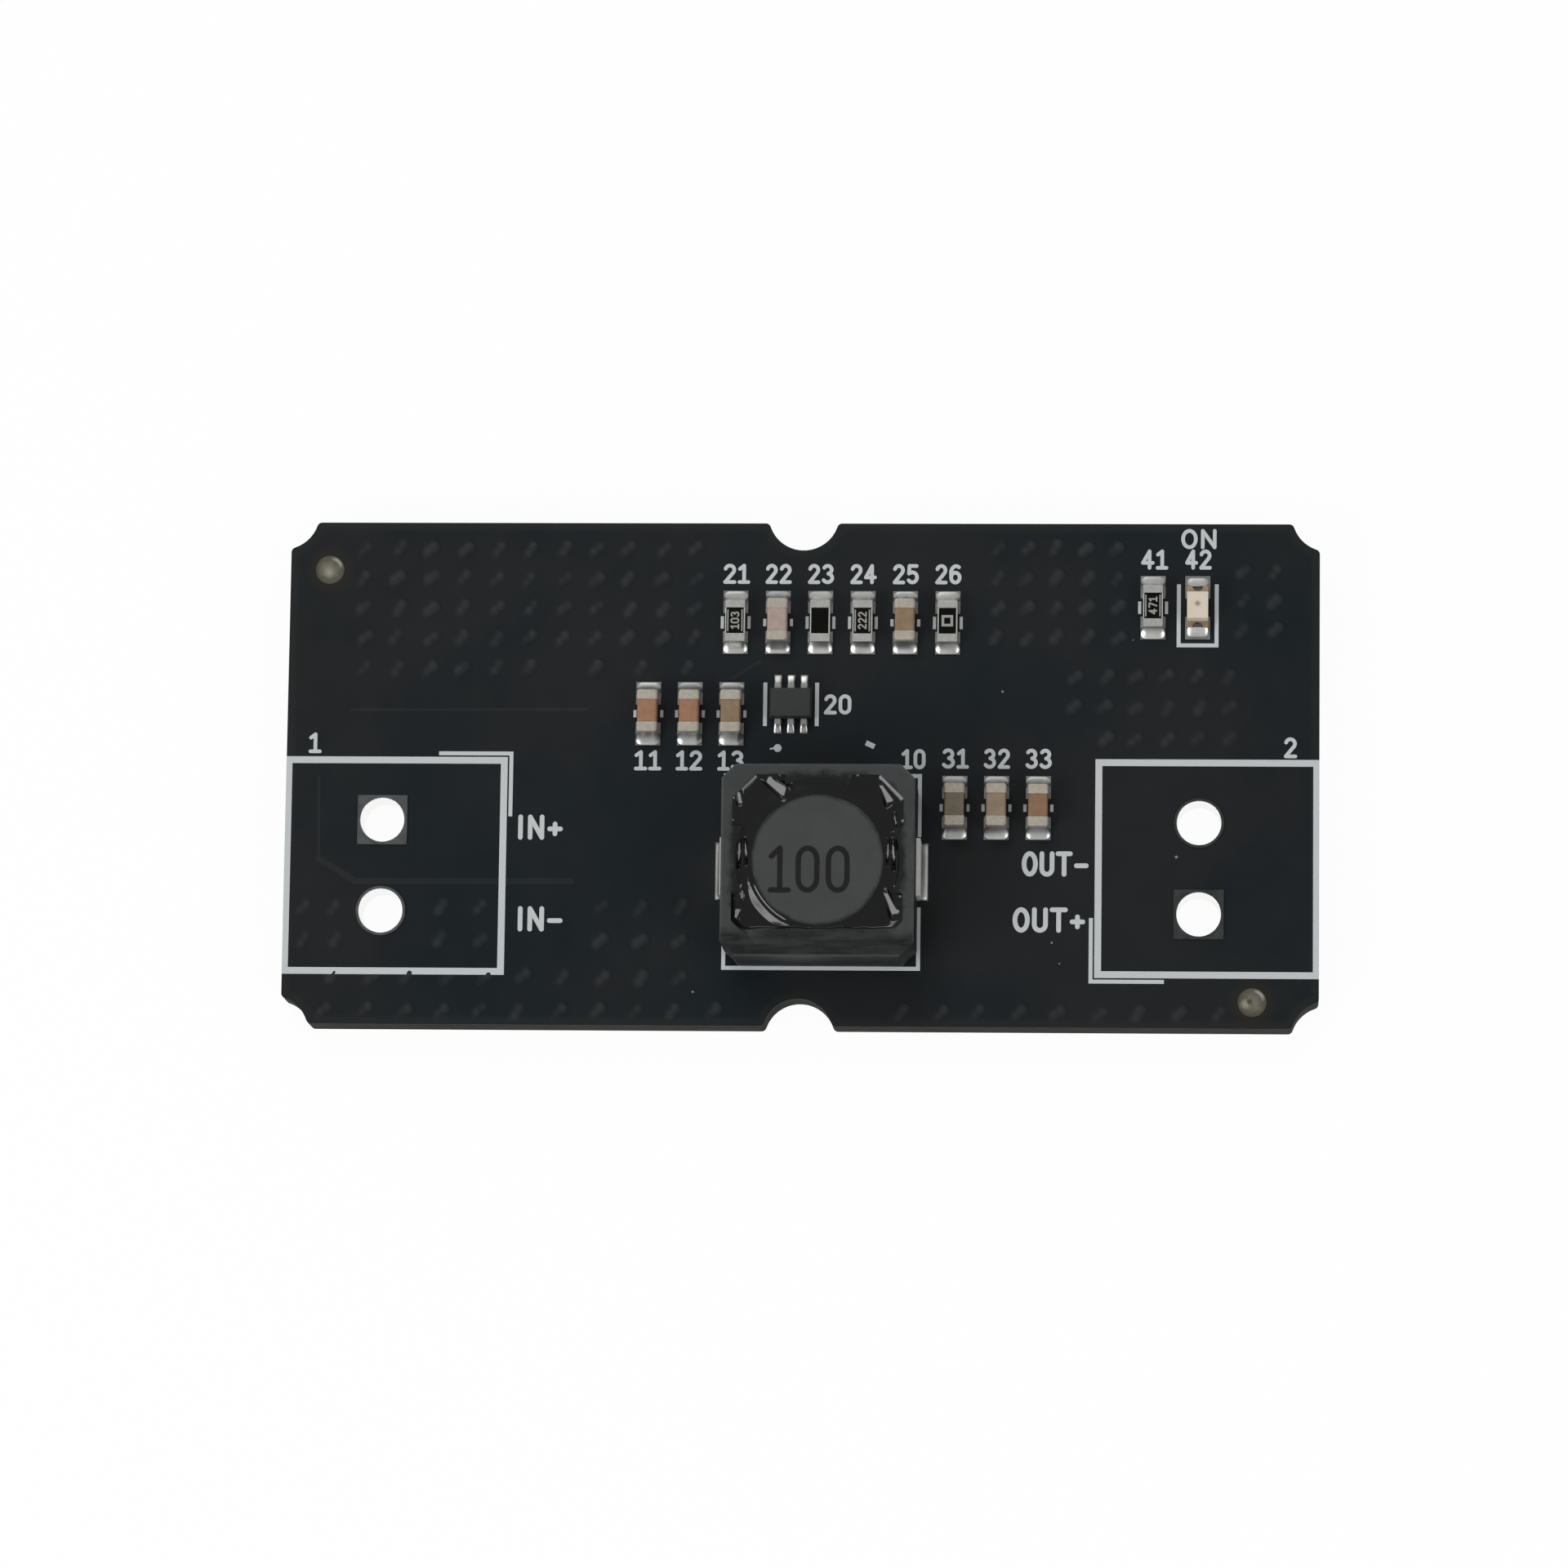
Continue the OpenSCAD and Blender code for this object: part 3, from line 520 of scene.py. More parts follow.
def tinned_clips():
    """Matte tinned strip; painted shade darkens the clip on the inductor's left side."""
    f = Finish("tinned clips", 0.42, 0.55)
    x, _, _ = f.axes()
    tone = f.mix(f.blotches(0.4), (0.8, 0.8, 0.78), (0.9, 0.9, 0.88))
    # painted shade on the clip left of the inductor
    left = f.ramp(x, INDUCTOR_X - 0.1, INDUCTOR_X + 0.1, 0.3, 0.0)
    f.colour(f.mix(left, tone, (0.3, 0.3, 0.29)))
    f.bump(f.noise(0.25, 3.0), 0.002)
    return f.material


def ceramic(name, dark, light, rough=0.55):
    """Fired ceramic with pores and a faint mottle."""
    f = Finish(name, rough)
    pores = f.ramp(f.noise(0.035, 3.0), 0.62, 0.75)
    f.colour(f.mix(f.times(pores, 0.4), f.mix(f.blotches(0.3), dark, light), shaded(dark, 0.45)))
    f.bump(f.noise(0.04, 3.0), 0.004)
    return f.material


def plain(name, rough, grain, detail, dark, light, relief, depth, **sockets):
    """A surface with one fine mottle between two tones and a relief of its own grain."""
    f = Finish(name, rough, **sockets)
    f.colour(f.mix(f.noise(grain, detail), dark, light))
    f.bump(f.noise(relief, 3.0), depth)
    return f.material


def chip_moulding():
    """Moulding compound: its filler grains are both tone and relief."""
    f = Finish("chip moulding", 0.6)
    grain = f.noise(0.03, 3.0, 0.7)
    f.colour(f.mix(f.ramp(grain, 0.35, 0.65), (0.0075, 0.0082, 0.0085), (0.0165, 0.0173, 0.0176)))
    f.bump(grain, 0.005)
    return f.material


def lamp_lens():
    """Milky resin that the die shows through as a soft dark spot."""
    f = Finish("lamp lens", 0.3)
    x, y, _ = f.axes()
    tone = f.mix(f.noise(0.25, 3.0), (0.58, 0.5, 0.405), (0.68, 0.605, 0.5))
    die = f.ramp(f.distance(x, y, *middle("lamp_die")), 0.03, 0.15, 0.85, 0.0)
    f.colour(f.mix(die, tone, (0.17, 0.15, 0.11)))
    f.bump(f.noise(0.12, 3.0), 0.003)
    return f.material


def ferrite_tone(f, dark, light, grain):
    """Pressed and ground ferrite: grey grains, stains and small pits."""
    grains = f.noise(grain, 5.0, 0.75)
    pits = f.ramp(f.noise(0.06, 2.0), 0.66, 0.74)
    tone = f.mix(f.ramp(grains, 0.3, 0.7), dark, light)
    stain = f.ramp(f.noise(1.4, 3.0), 0.4, 0.7, 0.0, 0.35)
    tone = f.mix(stain, tone, shaded(dark, 0.7))
    f.bump(f.minus(grains, f.times(pits, 0.6)), 0.004)
    return f.mix(pits, tone, shaded(dark, 0.45))


def film_streaks(f, to_low=0.0):
    """Wavy streaks along X in the dull film on the front of the inductor's top."""
    return f.ramp(f.noise(0.4, 3.0, stretch=(0.16, 1.0, 1.0)), 0.43, 0.57, to_low, 1.0)


def film_front(f, dy, full):
    """Where the film lies: all of it in front of full, and none behind its wavy border."""
    return f.ramp(f.wander(dy, 0.9, 0.3, 3.0), full, -2.6, 1.0, 0.0)


def ferrite_shield():
    """The shield: lighter along its edges by a painted highlight and by rubbing, darker down its walls by
    painted shade, with glue smeared over its top beside the cavity.
    """
    f = Finish("ferrite shield", 0.5, Specular_IOR_Level=0.38)
    tone = ferrite_tone(f, (0.025, 0.0285, 0.029), (0.0395, 0.043, 0.0433), 0.06)
    x, y, z = f.axes()
    dy = f.minus(y, INDUCTOR_Y)
    across, along = f.math("ABSOLUTE", f.minus(x, INDUCTOR_X)), f.math("ABSOLUTE", dy)
    # edges: a painted highlight, also rubbed lighter unevenly, near a side or a corner chamfer, close under
    # the top, and less in front
    side = f.ramp(f.math("MAXIMUM", across, along), SHIELD_HALF - 0.11, SHIELD_HALF - 0.05)
    corner = 2 * SHIELD_HALF - SHIELD_CORNER
    chamfer = f.ramp(f.plus(across, along), corner - 0.12, corner - 0.03)
    high = f.ramp(z, SHIELD_TOP - 0.14, SHIELD_TOP - 0.08)
    sheen_and_wear = f.ramp(f.noise(0.6), 0.35, 0.6, 0.15, 0.6)
    edge = f.times(f.math("MAXIMUM", side, chamfer), high, sheen_and_wear, f.ramp(dy, -3.2, -2.6, 0.2, 1.0))
    # painted highlight along the edges, mixed with an uneven rubbed lighter tone
    tone = f.mix(edge, tone, (0.075, 0.08, 0.08))
    # smear: out to a wavy rounded square around the cavity
    top = f.ramp(z, SHIELD_TOP - 0.06, SHIELD_TOP - 0.03)
    power = f.plus(f.math("POWER", across, 4.0), f.math("POWER", along, 4.0))
    reach = f.wander(f.math("POWER", power, 0.25), 0.6, 0.34, 4.0)
    front = film_front(f, dy, -2.95)
    smear = f.times(f.ramp(reach, 3.17, 3.4, 0.92, 0.0), top, f.minus(1.0, front))
    tone = f.mix(smear, tone, (0.0035, 0.0038, 0.004))
    film = f.times(front, top, film_streaks(f, 0.62))
    tone = f.mix(film, tone, (0.0012, 0.0015, 0.0015))
    # painted shade: the walls darken below the top
    wall = f.ramp(z, SHIELD_TOP - 0.3, SHIELD_TOP - 0.08, 0.86, 0.0)
    f.colour(f.mix(wall, tone, (0.002, 0.0026, 0.0029)))
    f.rough(f.minus(f.blotches(0.5, 4.0, 0.42, 0.58), f.plus(f.times(smear, 0.3), f.times(film, 0.12))))
    return f.material


def ferrite_core():
    """The drum: matte ferrite, with glue over the rim of its top face."""
    f = Finish("ferrite core", 0.55)
    tone = ferrite_tone(f, (0.023, 0.0245, 0.0245), (0.04, 0.042, 0.0415), 0.05)
    x, y, _ = f.axes()
    away = f.wander(f.distance(x, y, INDUCTOR_X, INDUCTOR_Y), 0.6, 0.12, 4.0)
    lapped = f.ramp(away, 2.35, 2.5)
    f.colour(f.mix(lapped, tone, (0.004, 0.0043, 0.0045)))
    f.rough(f.minus(f.blotches(0.5, 4.0, 0.47, 0.63), f.times(lapped, 0.3)))
    return f.material


def black_glue():
    """Glossy black epoxy with dust flecks; where it is flush with the front wall a dull film covers it."""
    f = Finish("black glue", 0.18, Specular_IOR_Level=0.42)
    _, y, _ = f.axes()
    dy = f.minus(y, INDUCTOR_Y)
    flecks = f.ramp(f.noise(0.05, 2.0), 0.72, 0.82)
    tone = f.mix(flecks, (0.0026, 0.0029, 0.003), (0.02, 0.02, 0.021))
    film = f.mix(film_streaks(f), (0.0145, 0.0155, 0.0155), (0.0015, 0.0018, 0.0018))
    f.colour(f.mix(film_front(f, dy, -2.9), tone, film))
    flush = f.ramp(dy, -2.63, -2.54, 0.26, 0.0)
    f.rough(f.plus(f.blotches(0.5, 3.0, 0.14, 0.22), flush))
    f.bump(f.noise(0.7, 2.0), 0.005)
    f.bump(f.noise(0.07, 2.0), 0.0006)
    return f.material


# One finish for each material slot: mostly its darker and its lighter tone
FINISHES = {
    "solder_mask": solder_mask(),
    "legend_ink": legend_ink(),
    "bare_copper": bare_copper(),
    "hole_plating": metal("hole plating", (0.042, 0.044, 0.044), (0.072, 0.075, 0.074), 0.5, 0.3, 0.002),
    "solder": metal("solder", (0.68, 0.68, 0.66), (0.8, 0.8, 0.78), 0.37, 0.6, 0.0006),
    "tinned_ends": tinned_ends(),
    "resistor_coat": plain("resistor coat", 0.45, 0.15, 4.0, (0.002, 0.0022, 0.0016),
                           (0.0045, 0.0047, 0.0035), 0.08, 0.003, Specular_IOR_Level=0.06),
    "alumina": ceramic("alumina", (0.5, 0.5, 0.46), (0.62, 0.62, 0.58)),
    "brown_ceramic": ceramic("brown ceramic", (0.235, 0.118, 0.06), (0.3, 0.152, 0.083)),
    "grey_ceramic": ceramic("grey ceramic", (0.13, 0.105, 0.07), (0.19, 0.155, 0.105)),
    "pink_ceramic": ceramic("pink ceramic", (0.31, 0.23, 0.2), (0.39, 0.3, 0.265)),
    "lamp_laminate": ceramic("lamp laminate", (0.4, 0.33, 0.24), (0.52, 0.44, 0.33)),
    "gilt_terminals": metal("gilt terminals", (0.36, 0.27, 0.18), (0.5, 0.4, 0.28), 0.4, 0.2, 0.002),
    "lamp_die": ceramic("lamp die", (0.05, 0.045, 0.02), (0.09, 0.08, 0.04), 0.3),
    "lamp_lens": lamp_lens(),
    "chip_moulding": chip_moulding(),
    "ferrite_shield": ferrite_shield(),
    "ferrite_core": ferrite_core(),
    "enamelled_wire": plain("enamelled wire", 0.25, 0.3, 3.0, (0.35, 0.11, 0.04), (0.5, 0.19, 0.07),
                            0.08, 0.003, Metallic=0.8, Coat_Weight=0.6),
    "tinned_clips": tinned_clips(),
    "black_glue": black_glue(),
}
PRINTED_GREY = plain("printed numbers", 0.6, 0.04, 3.0, (0.2, 0.2, 0.185), (0.32, 0.32, 0.3), 0.03, 0.002)
DARK_PRINT = plain("dark print", 0.75, 0.05, 3.0, (0.005, 0.005, 0.006), (0.011, 0.011, 0.012),
                   0.04, 0.002, Specular_IOR_Level=0.2)
# Resistor and lead ends, whose tin is less yellow than the capacitors'
NEUTRAL_TIN = tinned_ends("neutral tinned ends", (0.33, 0.33, 0.315), (0.44, 0.44, 0.425))

# Nodes that don't look like the rest of their slot, among them ceramic from other batches
OWN_FINISHES = {
    "input_hole_plating": metal("lighter plating", (0.085, 0.091, 0.092), (0.13, 0.138, 0.138),
                                0.45, 0.4, 0.002),
    # the lands are darkened: painted shade beside the joints
    "solder_lands": metal("lands with painted shade", (0.2, 0.2, 0.19), (0.3, 0.3, 0.29), 0.45, 0.3, 0.002),
}
for node, dark, light in (
    ("input_capacitor_3", (0.18, 0.125, 0.075), (0.235, 0.155, 0.1)),
    ("control_capacitor_2", (0.18, 0.12, 0.066), (0.235, 0.155, 0.09)),
    ("output_capacitor_1", (0.125, 0.1, 0.066), (0.175, 0.14, 0.093)),
    ("output_capacitor_2", (0.2, 0.155, 0.097), (0.275, 0.205, 0.13)),
    ("output_capacitor_3", (0.18, 0.097, 0.05), (0.24, 0.132, 0.068)),
):
    OWN_FINISHES[node] = ceramic(node.replace("_", " ") + " ceramic", dark, light)


def finish_nodes():
    """Each CAD node gets its own finish or its slot's."""
    for part in frame["record"]["subparts"]:
        node, slot = part["node"], part["material_slot"]
        neutral = slot == "tinned_ends" and not node.endswith("_end_caps")
        materials = NODES[node].data.materials
        materials.clear()
        materials.append(OWN_FINISHES.get(node, NEUTRAL_TIN if neutral else FINISHES[slot]))


# ---------- board relief ----------

# Grids of filled vias: X and Y of the rear left one, pitch along X and Y, columns and rows.
# Where a row has gaps, a list of its steps along X takes the columns' place.
VIA_GRIDS = [
    (-16.8, 8.66, 1.27, 1.16, 11, 4),
    (-16.8, 4.02, 1.27, 0, (0, 1, 2, 3, 4, 5, 7, 8.4, 9.8), 1),
    (7.45, 8.7, 1.14, 1.15, 5, 4),
    (16.8, 7.85, 1.2, 1.15, 2, 3),
    (10.45, 3.75, 1.17, 1.2, 6, 2),
    (11.62, 1.35, 1.17, 0, 5, 1),
    (0, -5.22, 1, 1.26, (-18.9, -17.7, -13.6, -12.1, -7.5, -6.0, -4.46), 2),
    (-17.8, -7.89, 1.48, 0, 10, 1),
    (-18.0, -9.17, 1.48, 0, 11, 1),
    (3.9, -9.18, 1.5, 0, 9, 1),
]
# Height of a via's swellings, how far its skin reaches and how far the skin's face lies in the board
VIA_H, VIA_REACH, VIA_SUNK = 0.032, 0.42, 0.0012
# Places of the two swellings along the via's own axis
FAR_SWELL, NEAR_SWELL = 0.16, -0.17

# Edges of copper areas: each path, and the width of its first stretch and of what follows a sharp corner
COPPER_EDGES = [
    [(-18.45, -0.19), (-18.38, -3.35), (-16.96, -4.22), (-8.69, -4.18)],
    [(-17.26, 2.41), (-8.18, 2.45)],
    [(-1.6, 4.35), (-2.6, 3.7)],
]
EDGE_WIDTHS = (0.12, 0.24)
EDGE_H = 0.006

# Specks of dust: X, Y and radius
DUST = [(14.3, -3.15, 0.09), (9.6, -6.45, 0.06), (9.9, -7.25, 0.05), (7.65, 3.2, 0.07),
        (-4.0, -8.4, 0.06), (12.6, 5.2, 0.04)]


def via_places():
    places = []
    for x, y, pitch_x, pitch_y, columns, rows in VIA_GRIDS:
        steps = range(columns) if isinstance(columns, int) else columns
        places += [(x + i * pitch_x, y - j * pitch_y) for j in range(rows) for i in steps]
    return places


def tented_vias():
    """Filled vias: each is a pair of low swellings in the mask, a little different every time."""
    rng = random.Random(4)
    shape = Shape()
    steps, rings = 28, 11
    for cx, cy in via_places():
        cx += rng.uniform(-0.07, 0.07)
        cy += rng.uniform(-0.05, 0.05)
        turn = math.radians(rng.uniform(38, 66))
        far, near = rng.uniform(0.55, 1.1), rng.uniform(0.45, 1.0)
        size = rng.uniform(0.15, 0.19)

        def height(x, y):
            u = x * math.cos(turn) + y * math.sin(turn)
            v = y * math.cos(turn) - x * math.sin(turn)
            far_part = far * math.exp(-((u - FAR_SWELL) ** 2 + v * v) / size ** 2)
            near_part = near * math.exp(-((u - NEAR_SWELL) ** 2 + (v - 0.03) ** 2) / size ** 2)
            return VIA_H * (far_part + near_part) - VIA_SUNK

        rows = []
        for ring in range(1, rings + 1):
            r = VIA_REACH * ring / rings
            places = [(r * c, r * s) for c, s in turn_points(steps)]
            rows.append([(cx + x, cy + y, BOARD_TOP + (height(x, y) if ring < rings else -SUNK))
                         for x, y in places])
        start = len(shape.verts)
        shape.grid(rows, closed=True)
        shape.add([(cx, cy, BOARD_TOP + height(0, 0)), (cx, cy, BOARD_TOP - 1.5 * SUNK)], [])
        centre = len(shape.verts) - 2
        last = start + (rings - 1) * steps
        for k in range(steps):
            shape.faces.append([start + k, start + (k + 1) % steps, centre])
            shape.faces.append([last + (k + 1) % steps, last + k, centre + 1])
    # the swellings' tops get a painted highlight through crest_sheen
    piece("tented_vias", shape, "solder_mask", solder_mask("mask over a filled via", crest_sheen=0.3))


def copper_relief():
    """Edges of copper areas, seen as faint steps in the mask."""
    shape = Shape()
    for path in COPPER_EDGES:
        for n, part in enumerate(runs([Vector(p) for p in path])):
            band(part, EDGE_WIDTHS[n], BOARD_TOP - SUNK, BOARD_TOP + EDGE_H - STRETCH_STEP * n, shape)
    lighter = solder_mask("mask over a copper edge", lift=0.0062)
    piece("copper_relief", shape, "solder_mask", lighter, smooth=False)


def dust():
    """Specks of dust on the mask, each a low cone with an uneven rim."""
    rng = random.Random(9)
    shape = Shape()
    for x, y, size in DUST:
        rim = [(x + size * rng.uniform(0.6, 1.0) * c, y + size * rng.uniform(0.6, 1.0) * s)
               for c, s in turn_points(9)]
        n = len(rim)
        foot = BOARD_TOP - 0.001
        shape.add([(u, v, foot) for u, v in rim] + [(x, y, BOARD_TOP + size * 0.4), (x, y, foot)],
                  [[k, (k + 1) % n, n] for k in range(n)] + [[(k + 1) % n, k, n + 1] for k in range(n)])
    piece("dust_specks", shape, "legend_ink", PRINTED_GREY)


def hole_linings():
    """Bright barrels inside the terminal holes."""
    shape = Shape()
    skin = 0.012
    low, high = 0.0, box_mm("input_hole_plating")[1].z
    for cx, cy, r in HOLES.values():
        # two rows near each end keep the shading of the wall straight up to its bevel
        wall = [(r - skin, z) for z in (low + 0.01, low + 0.02, high - 0.02, high - 0.01)]
        profile = [(r, low), *wall, (r, high), (r, low)]
        shape.grid([[(cx + radius * c, cy + radius * s, z) for c, s in turn_points(64)]
                    for radius, z in profile], closed=True)
    piece("hole_linings", shape, "hole_plating", bright_lining())


# ---------- lettering ----------

# Capital height and stroke of the print
SMALL, BLOCK, LARGE = (0.78, 0.14), (0.8, 0.14), (0.97, 0.18)
NUMBER_W = 1.05
CONTROL_ROW = ["control_resistor_1", "control_capacitor_1", "control_resistor_2", "control_resistor_3",
               "control_capacitor_2", "control_resistor_4"]

# Text, the node or hole that it stands beside, how far along X and Y, its width, its height and stroke
LABELS = [(str(21 + n), node, 0.0, 1.89, NUMBER_W, SMALL) for n, node in enumerate(CONTROL_ROW)]
for n in range(3):
    LABELS += [
        (str(11 + n), f"input_capacitor_{n + 1}", 0.0, -1.8, NUMBER_W, SMALL),
        (str(31 + n), f"output_capacitor_{n + 1}", 0.0, 1.9, NUMBER_W, SMALL),
    ]
LABELS += [
    ("10", "inductor_shield", 3.45, 4.35, 0.96, SMALL),
    ("20", "regulator_body", 1.78, 0.005, 1.1, SMALL),
    ("41", "lamp_resistor", 0.04, 1.87, NUMBER_W, SMALL),
    ("42", "lamp_base", 0.02, 1.875, NUMBER_W, SMALL),
    ("ON", "lamp_base", 0.04, 2.67, 1.4, SMALL),
    ("1", "input_positive_hole", -2.65, 2.97, 0.5, BLOCK),
    ("2", "output_negative_hole", 3.45, 2.91, 0.55, BLOCK),
    ("IN+", "input_positive_hole", 6.02, -0.26, 1.89, LARGE),
    ("IN-", "input_negative_hole", 6.07, -0.29, 1.89, LARGE),
    ("OUT-", "output_negative_hole", -5.43, -1.59, 2.6, LARGE),
    ("OUT+", "output_positive_hole", -5.65, -0.24, 2.82, LARGE),
]

# Numbers on the resistors' coats, and the half side and line of the square on the one without a number
RESISTOR_TEXTS = {"control_resistor_1": "103", "control_resistor_3": "222", "control_resistor_4": "",
                  "lamp_resistor": "471"}
SQUARE_HALF, SQUARE_LINE = 0.17, 0.1


def board_lettering():
    """Plain numbers beside the parts and plain words beside the terminals."""
    shape = Shape()
    for text, place, dx, dy, width, (height, stroke) in LABELS:
        x, y = HOLES[place][:2] if place in HOLES else middle(place)
        lettering(shape, text, (x + dx, y + dy), width, height, stroke, BOARD_TOP, INK_TOP)
    piece("board_lettering", shape, "legend_ink", smooth=False)


def resistor_numbers():
    """Small numbers on the resistors' coats between two printed lines, and a square on one."""
    shape = Shape()
    for name, text in RESISTOR_TEXTS.items():
        low, high = box_mm(name + "_coat")
        cx, cy = middle(name + "_coat")
        bottom, top = high.z - SUNK, high.z + 0.004
        if not text:
            corners = [(-1, 1), (-1, -1), (1, -1), (1, 1)]
            square = [Vector((cx + SQUARE_HALF * sx, cy + SQUARE_HALF * sy)) for sx, sy in corners]
            loop_band(square, SQUARE_LINE, bottom, top, shape)
            continue
        lettering(shape, text, (cx, cy), high.y - low.y - 0.3, 0.34, 0.06, bottom, top, turned=True)
        for x in (cx - 0.27, cx + 0.27):
            band([Vector((x, low.y + 0.1)), Vector((x, high.y - 0.1))], 0.05, bottom, top, shape)
    piece("resistor_numbers", shape, "legend_ink", PRINTED_GREY, smooth=False)


def inductor_number():
    """A plain value number printed on the drum's top face."""
    shape = Shape()
    centre = (INDUCTOR_X - 0.3, INDUCTOR_Y - 0.36)
    lettering(shape, "100", centre, 3.15, 1.8, 0.2, DRUM_TOP - SUNK, DRUM_TOP + 0.006)
    piece("inductor_number", shape, "ferrite_core", DARK_PRINT, smooth=False)


# ---------- solder ----------

# Width and length of the wetted part of a chip part's land, and width of the chip's wetted wall
LAND_W, LAND_FOOT, CHIP_WALL_W = 0.95, 0.42, 0.78
# Distance between the regulator's leads
LEAD_PITCH = 0.5
# Radius of a land's rounded corners, and its largest share of the land's length and half width
LAND_CORNER, CORNER_SHARE = 0.24, 0.6
# Steps along half of a land's outline: side, rounded corner and front; and steps from wall to outline
SIDE_STEPS, CORNER_STEPS, FRONT_STEPS, DEPTH_STEPS = 3, 8, 14, 14


def joint_outlines(wall_w, land_w, foot):
    """Points along the wall's foot, and as many along the land's outline that the solder runs out to."""
    hw, lw = wall_w / 2, land_w / 2
    corner = min(LAND_CORNER, foot * CORNER_SHARE, lw * CORNER_SHARE)
    # the left half: what share of the wall's width each point starts from, and where it ends
    points = [(0.0, -lw, (foot - corner) * n / SIDE_STEPS) for n in range(SIDE_STEPS)]
    for n in range(CORNER_STEPS + 1):
        a = math.pi / 2 * n / CORNER_STEPS
        share = n / CORNER_STEPS * corner / land_w
        points.append((share, -lw + corner * (1 - math.cos(a)), foot - corner * (1 - math.sin(a))))
    half = len(points)
    for n in range(1, FRONT_STEPS):
        share = (corner + (land_w - 2 * corner) * n / FRONT_STEPS) / land_w
        points.append((share, -lw + land_w * share, foot))
    inner = [(-hw + wall_w * share, 0.0) for share, _, _ in points]
    outer = [(u, v) for _, u, v in points]
    return [side + [(-u, v) for u, v in side[:half][::-1]] for side in (inner, outer)]


def joint(shape, rng, end, out, wall_w, land_w, foot, climb, bead=0.06, sideways=False):
    """A solder joint that wets the end of a lead or chip and spreads over its land.

    end is the middle of the wetted wall's foot, out is +1 or -1 along Y, wall_w and land_w are the
    widths of wall and land, foot is the land's length beyond the wall, climb is the height on the wall
    and bead is the height of the rounded toe. A joint that lies sideways points along X instead.
    """
    def place(u, v):
        return (end[0] + v * out, end[1] - u * out) if sideways else (end[0] + u * out, end[1] + v * out)

    inner, outer = joint_outlines(wall_w, land_w, foot)
    height = climb * rng.uniform(0.88, 1.08)
    lean = rng.uniform(-0.1, 0.1)
    hollow = rng.uniform(2.0, 2.6)
    toe = bead * rng.uniform(0.85, 1.2)
    rows = []
    for j in range(DEPTH_STEPS + 1):
        t = j / DEPTH_STEPS
        row = []
        for (iu, iv), (ou, ov) in zip(inner, outer):
            across = iu / (wall_w / 2)
            wall = height * (1 - 0.3 * abs(across) ** 4) * (1 + lean * across)
            z = wall * (1 - t) ** hollow + toe * (1 - t ** 3) * (1 - 0.4 * (1 - t) ** 2)
            if j == DEPTH_STEPS:
                z = -2 * SUNK
            row.append((*place(iu + (ou - iu) * t, iv + (ov - iv) * t), LAND_TOP + z))
        rows.append(row)
    # the skin turns down at the land's outline and closes under itself
    floor = LAND_TOP - 0.01
    back = [place(iu * 0.96, -0.01) for iu, _ in inner]
    rows.append([(x, y, floor) for x, y, _ in rows[-1]])
    rows.append([(x, y, floor) for x, y in back])
    rows.append([(x, y, z) for (x, y), (_, _, z) in zip(back, rows[0])])
    rows.append(rows[0])
    start = len(shape.verts)
    n = len(inner)
    shape.grid(rows)
    for k in (0, n - 1):
        ring = [start + j * n + k for j in range(len(rows) - 1)]
        shape.faces.append(ring if k else ring[::-1])


def chip_ends(*nodes):
    """What joint() needs for both ends of each chip part."""
    ends = []
    for node in nodes:
        low, high = box_mm(node)
        climb = min((high.z - low.z) * 0.7, 0.45)
        for y, out in ((high.y, 1), (low.y, -1)):
            ends.append(((middle(node)[0], y), out, CHIP_WALL_W, LAND_W, LAND_FOOT, climb))
    return ends


def solder_joints():
    """Concave joints with a rounded toe in place of the plain wedges of solder."""
    lamp_low, lamp_high = box_mm("lamp_terminals")
    lead_low, lead_high = box_mm("regulator_leads")
    lamp_x, lead_x = middle("lamp_terminals")[0], middle("regulator_leads")[0]
    clip_low, clip_high = box_mm("inductor_clips")
    clip_w = clip_high.y - clip_low.y
    groups = {
        "input_capacitor": chip_ends(*[f"input_capacitor_{n}_end_caps" for n in (1, 2, 3)]),
        "output_capacitor": chip_ends(*[f"output_capacitor_{n}_end_caps" for n in (1, 2, 3)]),
        "control_row": chip_ends(*[f"control_capacitor_{n}_end_caps" for n in (1, 2)],
                                 *[f"control_resistor_{n}_terminals" for n in (1, 2, 3, 4)]),
        "lamp_resistor": chip_ends("lamp_resistor_terminals"),
        "lamp": [((lamp_x, lamp_high.y), 1, 0.74, 0.86, 0.36, 0.2),
                 ((lamp_x, lamp_low.y), -1, 0.74, 0.86, 0.34, 0.14, 0.11)],
        "regulator": [((lead_x + n * LEAD_PITCH, y), out, 0.22, 0.28, 0.32, 0.12, 0.05)
                      for y, out in ((lead_high.y, 1), (lead_low.y, -1)) for n in (-1, 0, 1)],
        "inductor": [((x, INDUCTOR_Y), out, clip_w - 0.04, clip_w, 0.23, 0.3, 0.05, True)
                     for x, out in ((clip_low.x, -1), (clip_high.x, 1))],
    }
    rng = random.Random(11)
    for group, ends in groups.items():
        shape = Shape()
        for end in ends:
            joint(shape, rng, *end)
        piece(group + "_joints", shape, "solder", replaces=[group + "_solder"])


# ---------- inductor glue ----------

# Where the glue's face leans so that it mirrors a soft box, by the height it gains along X and Y
LEANS = {"left": (0.413, 0.394), "right": (-0.463, 0.351)}

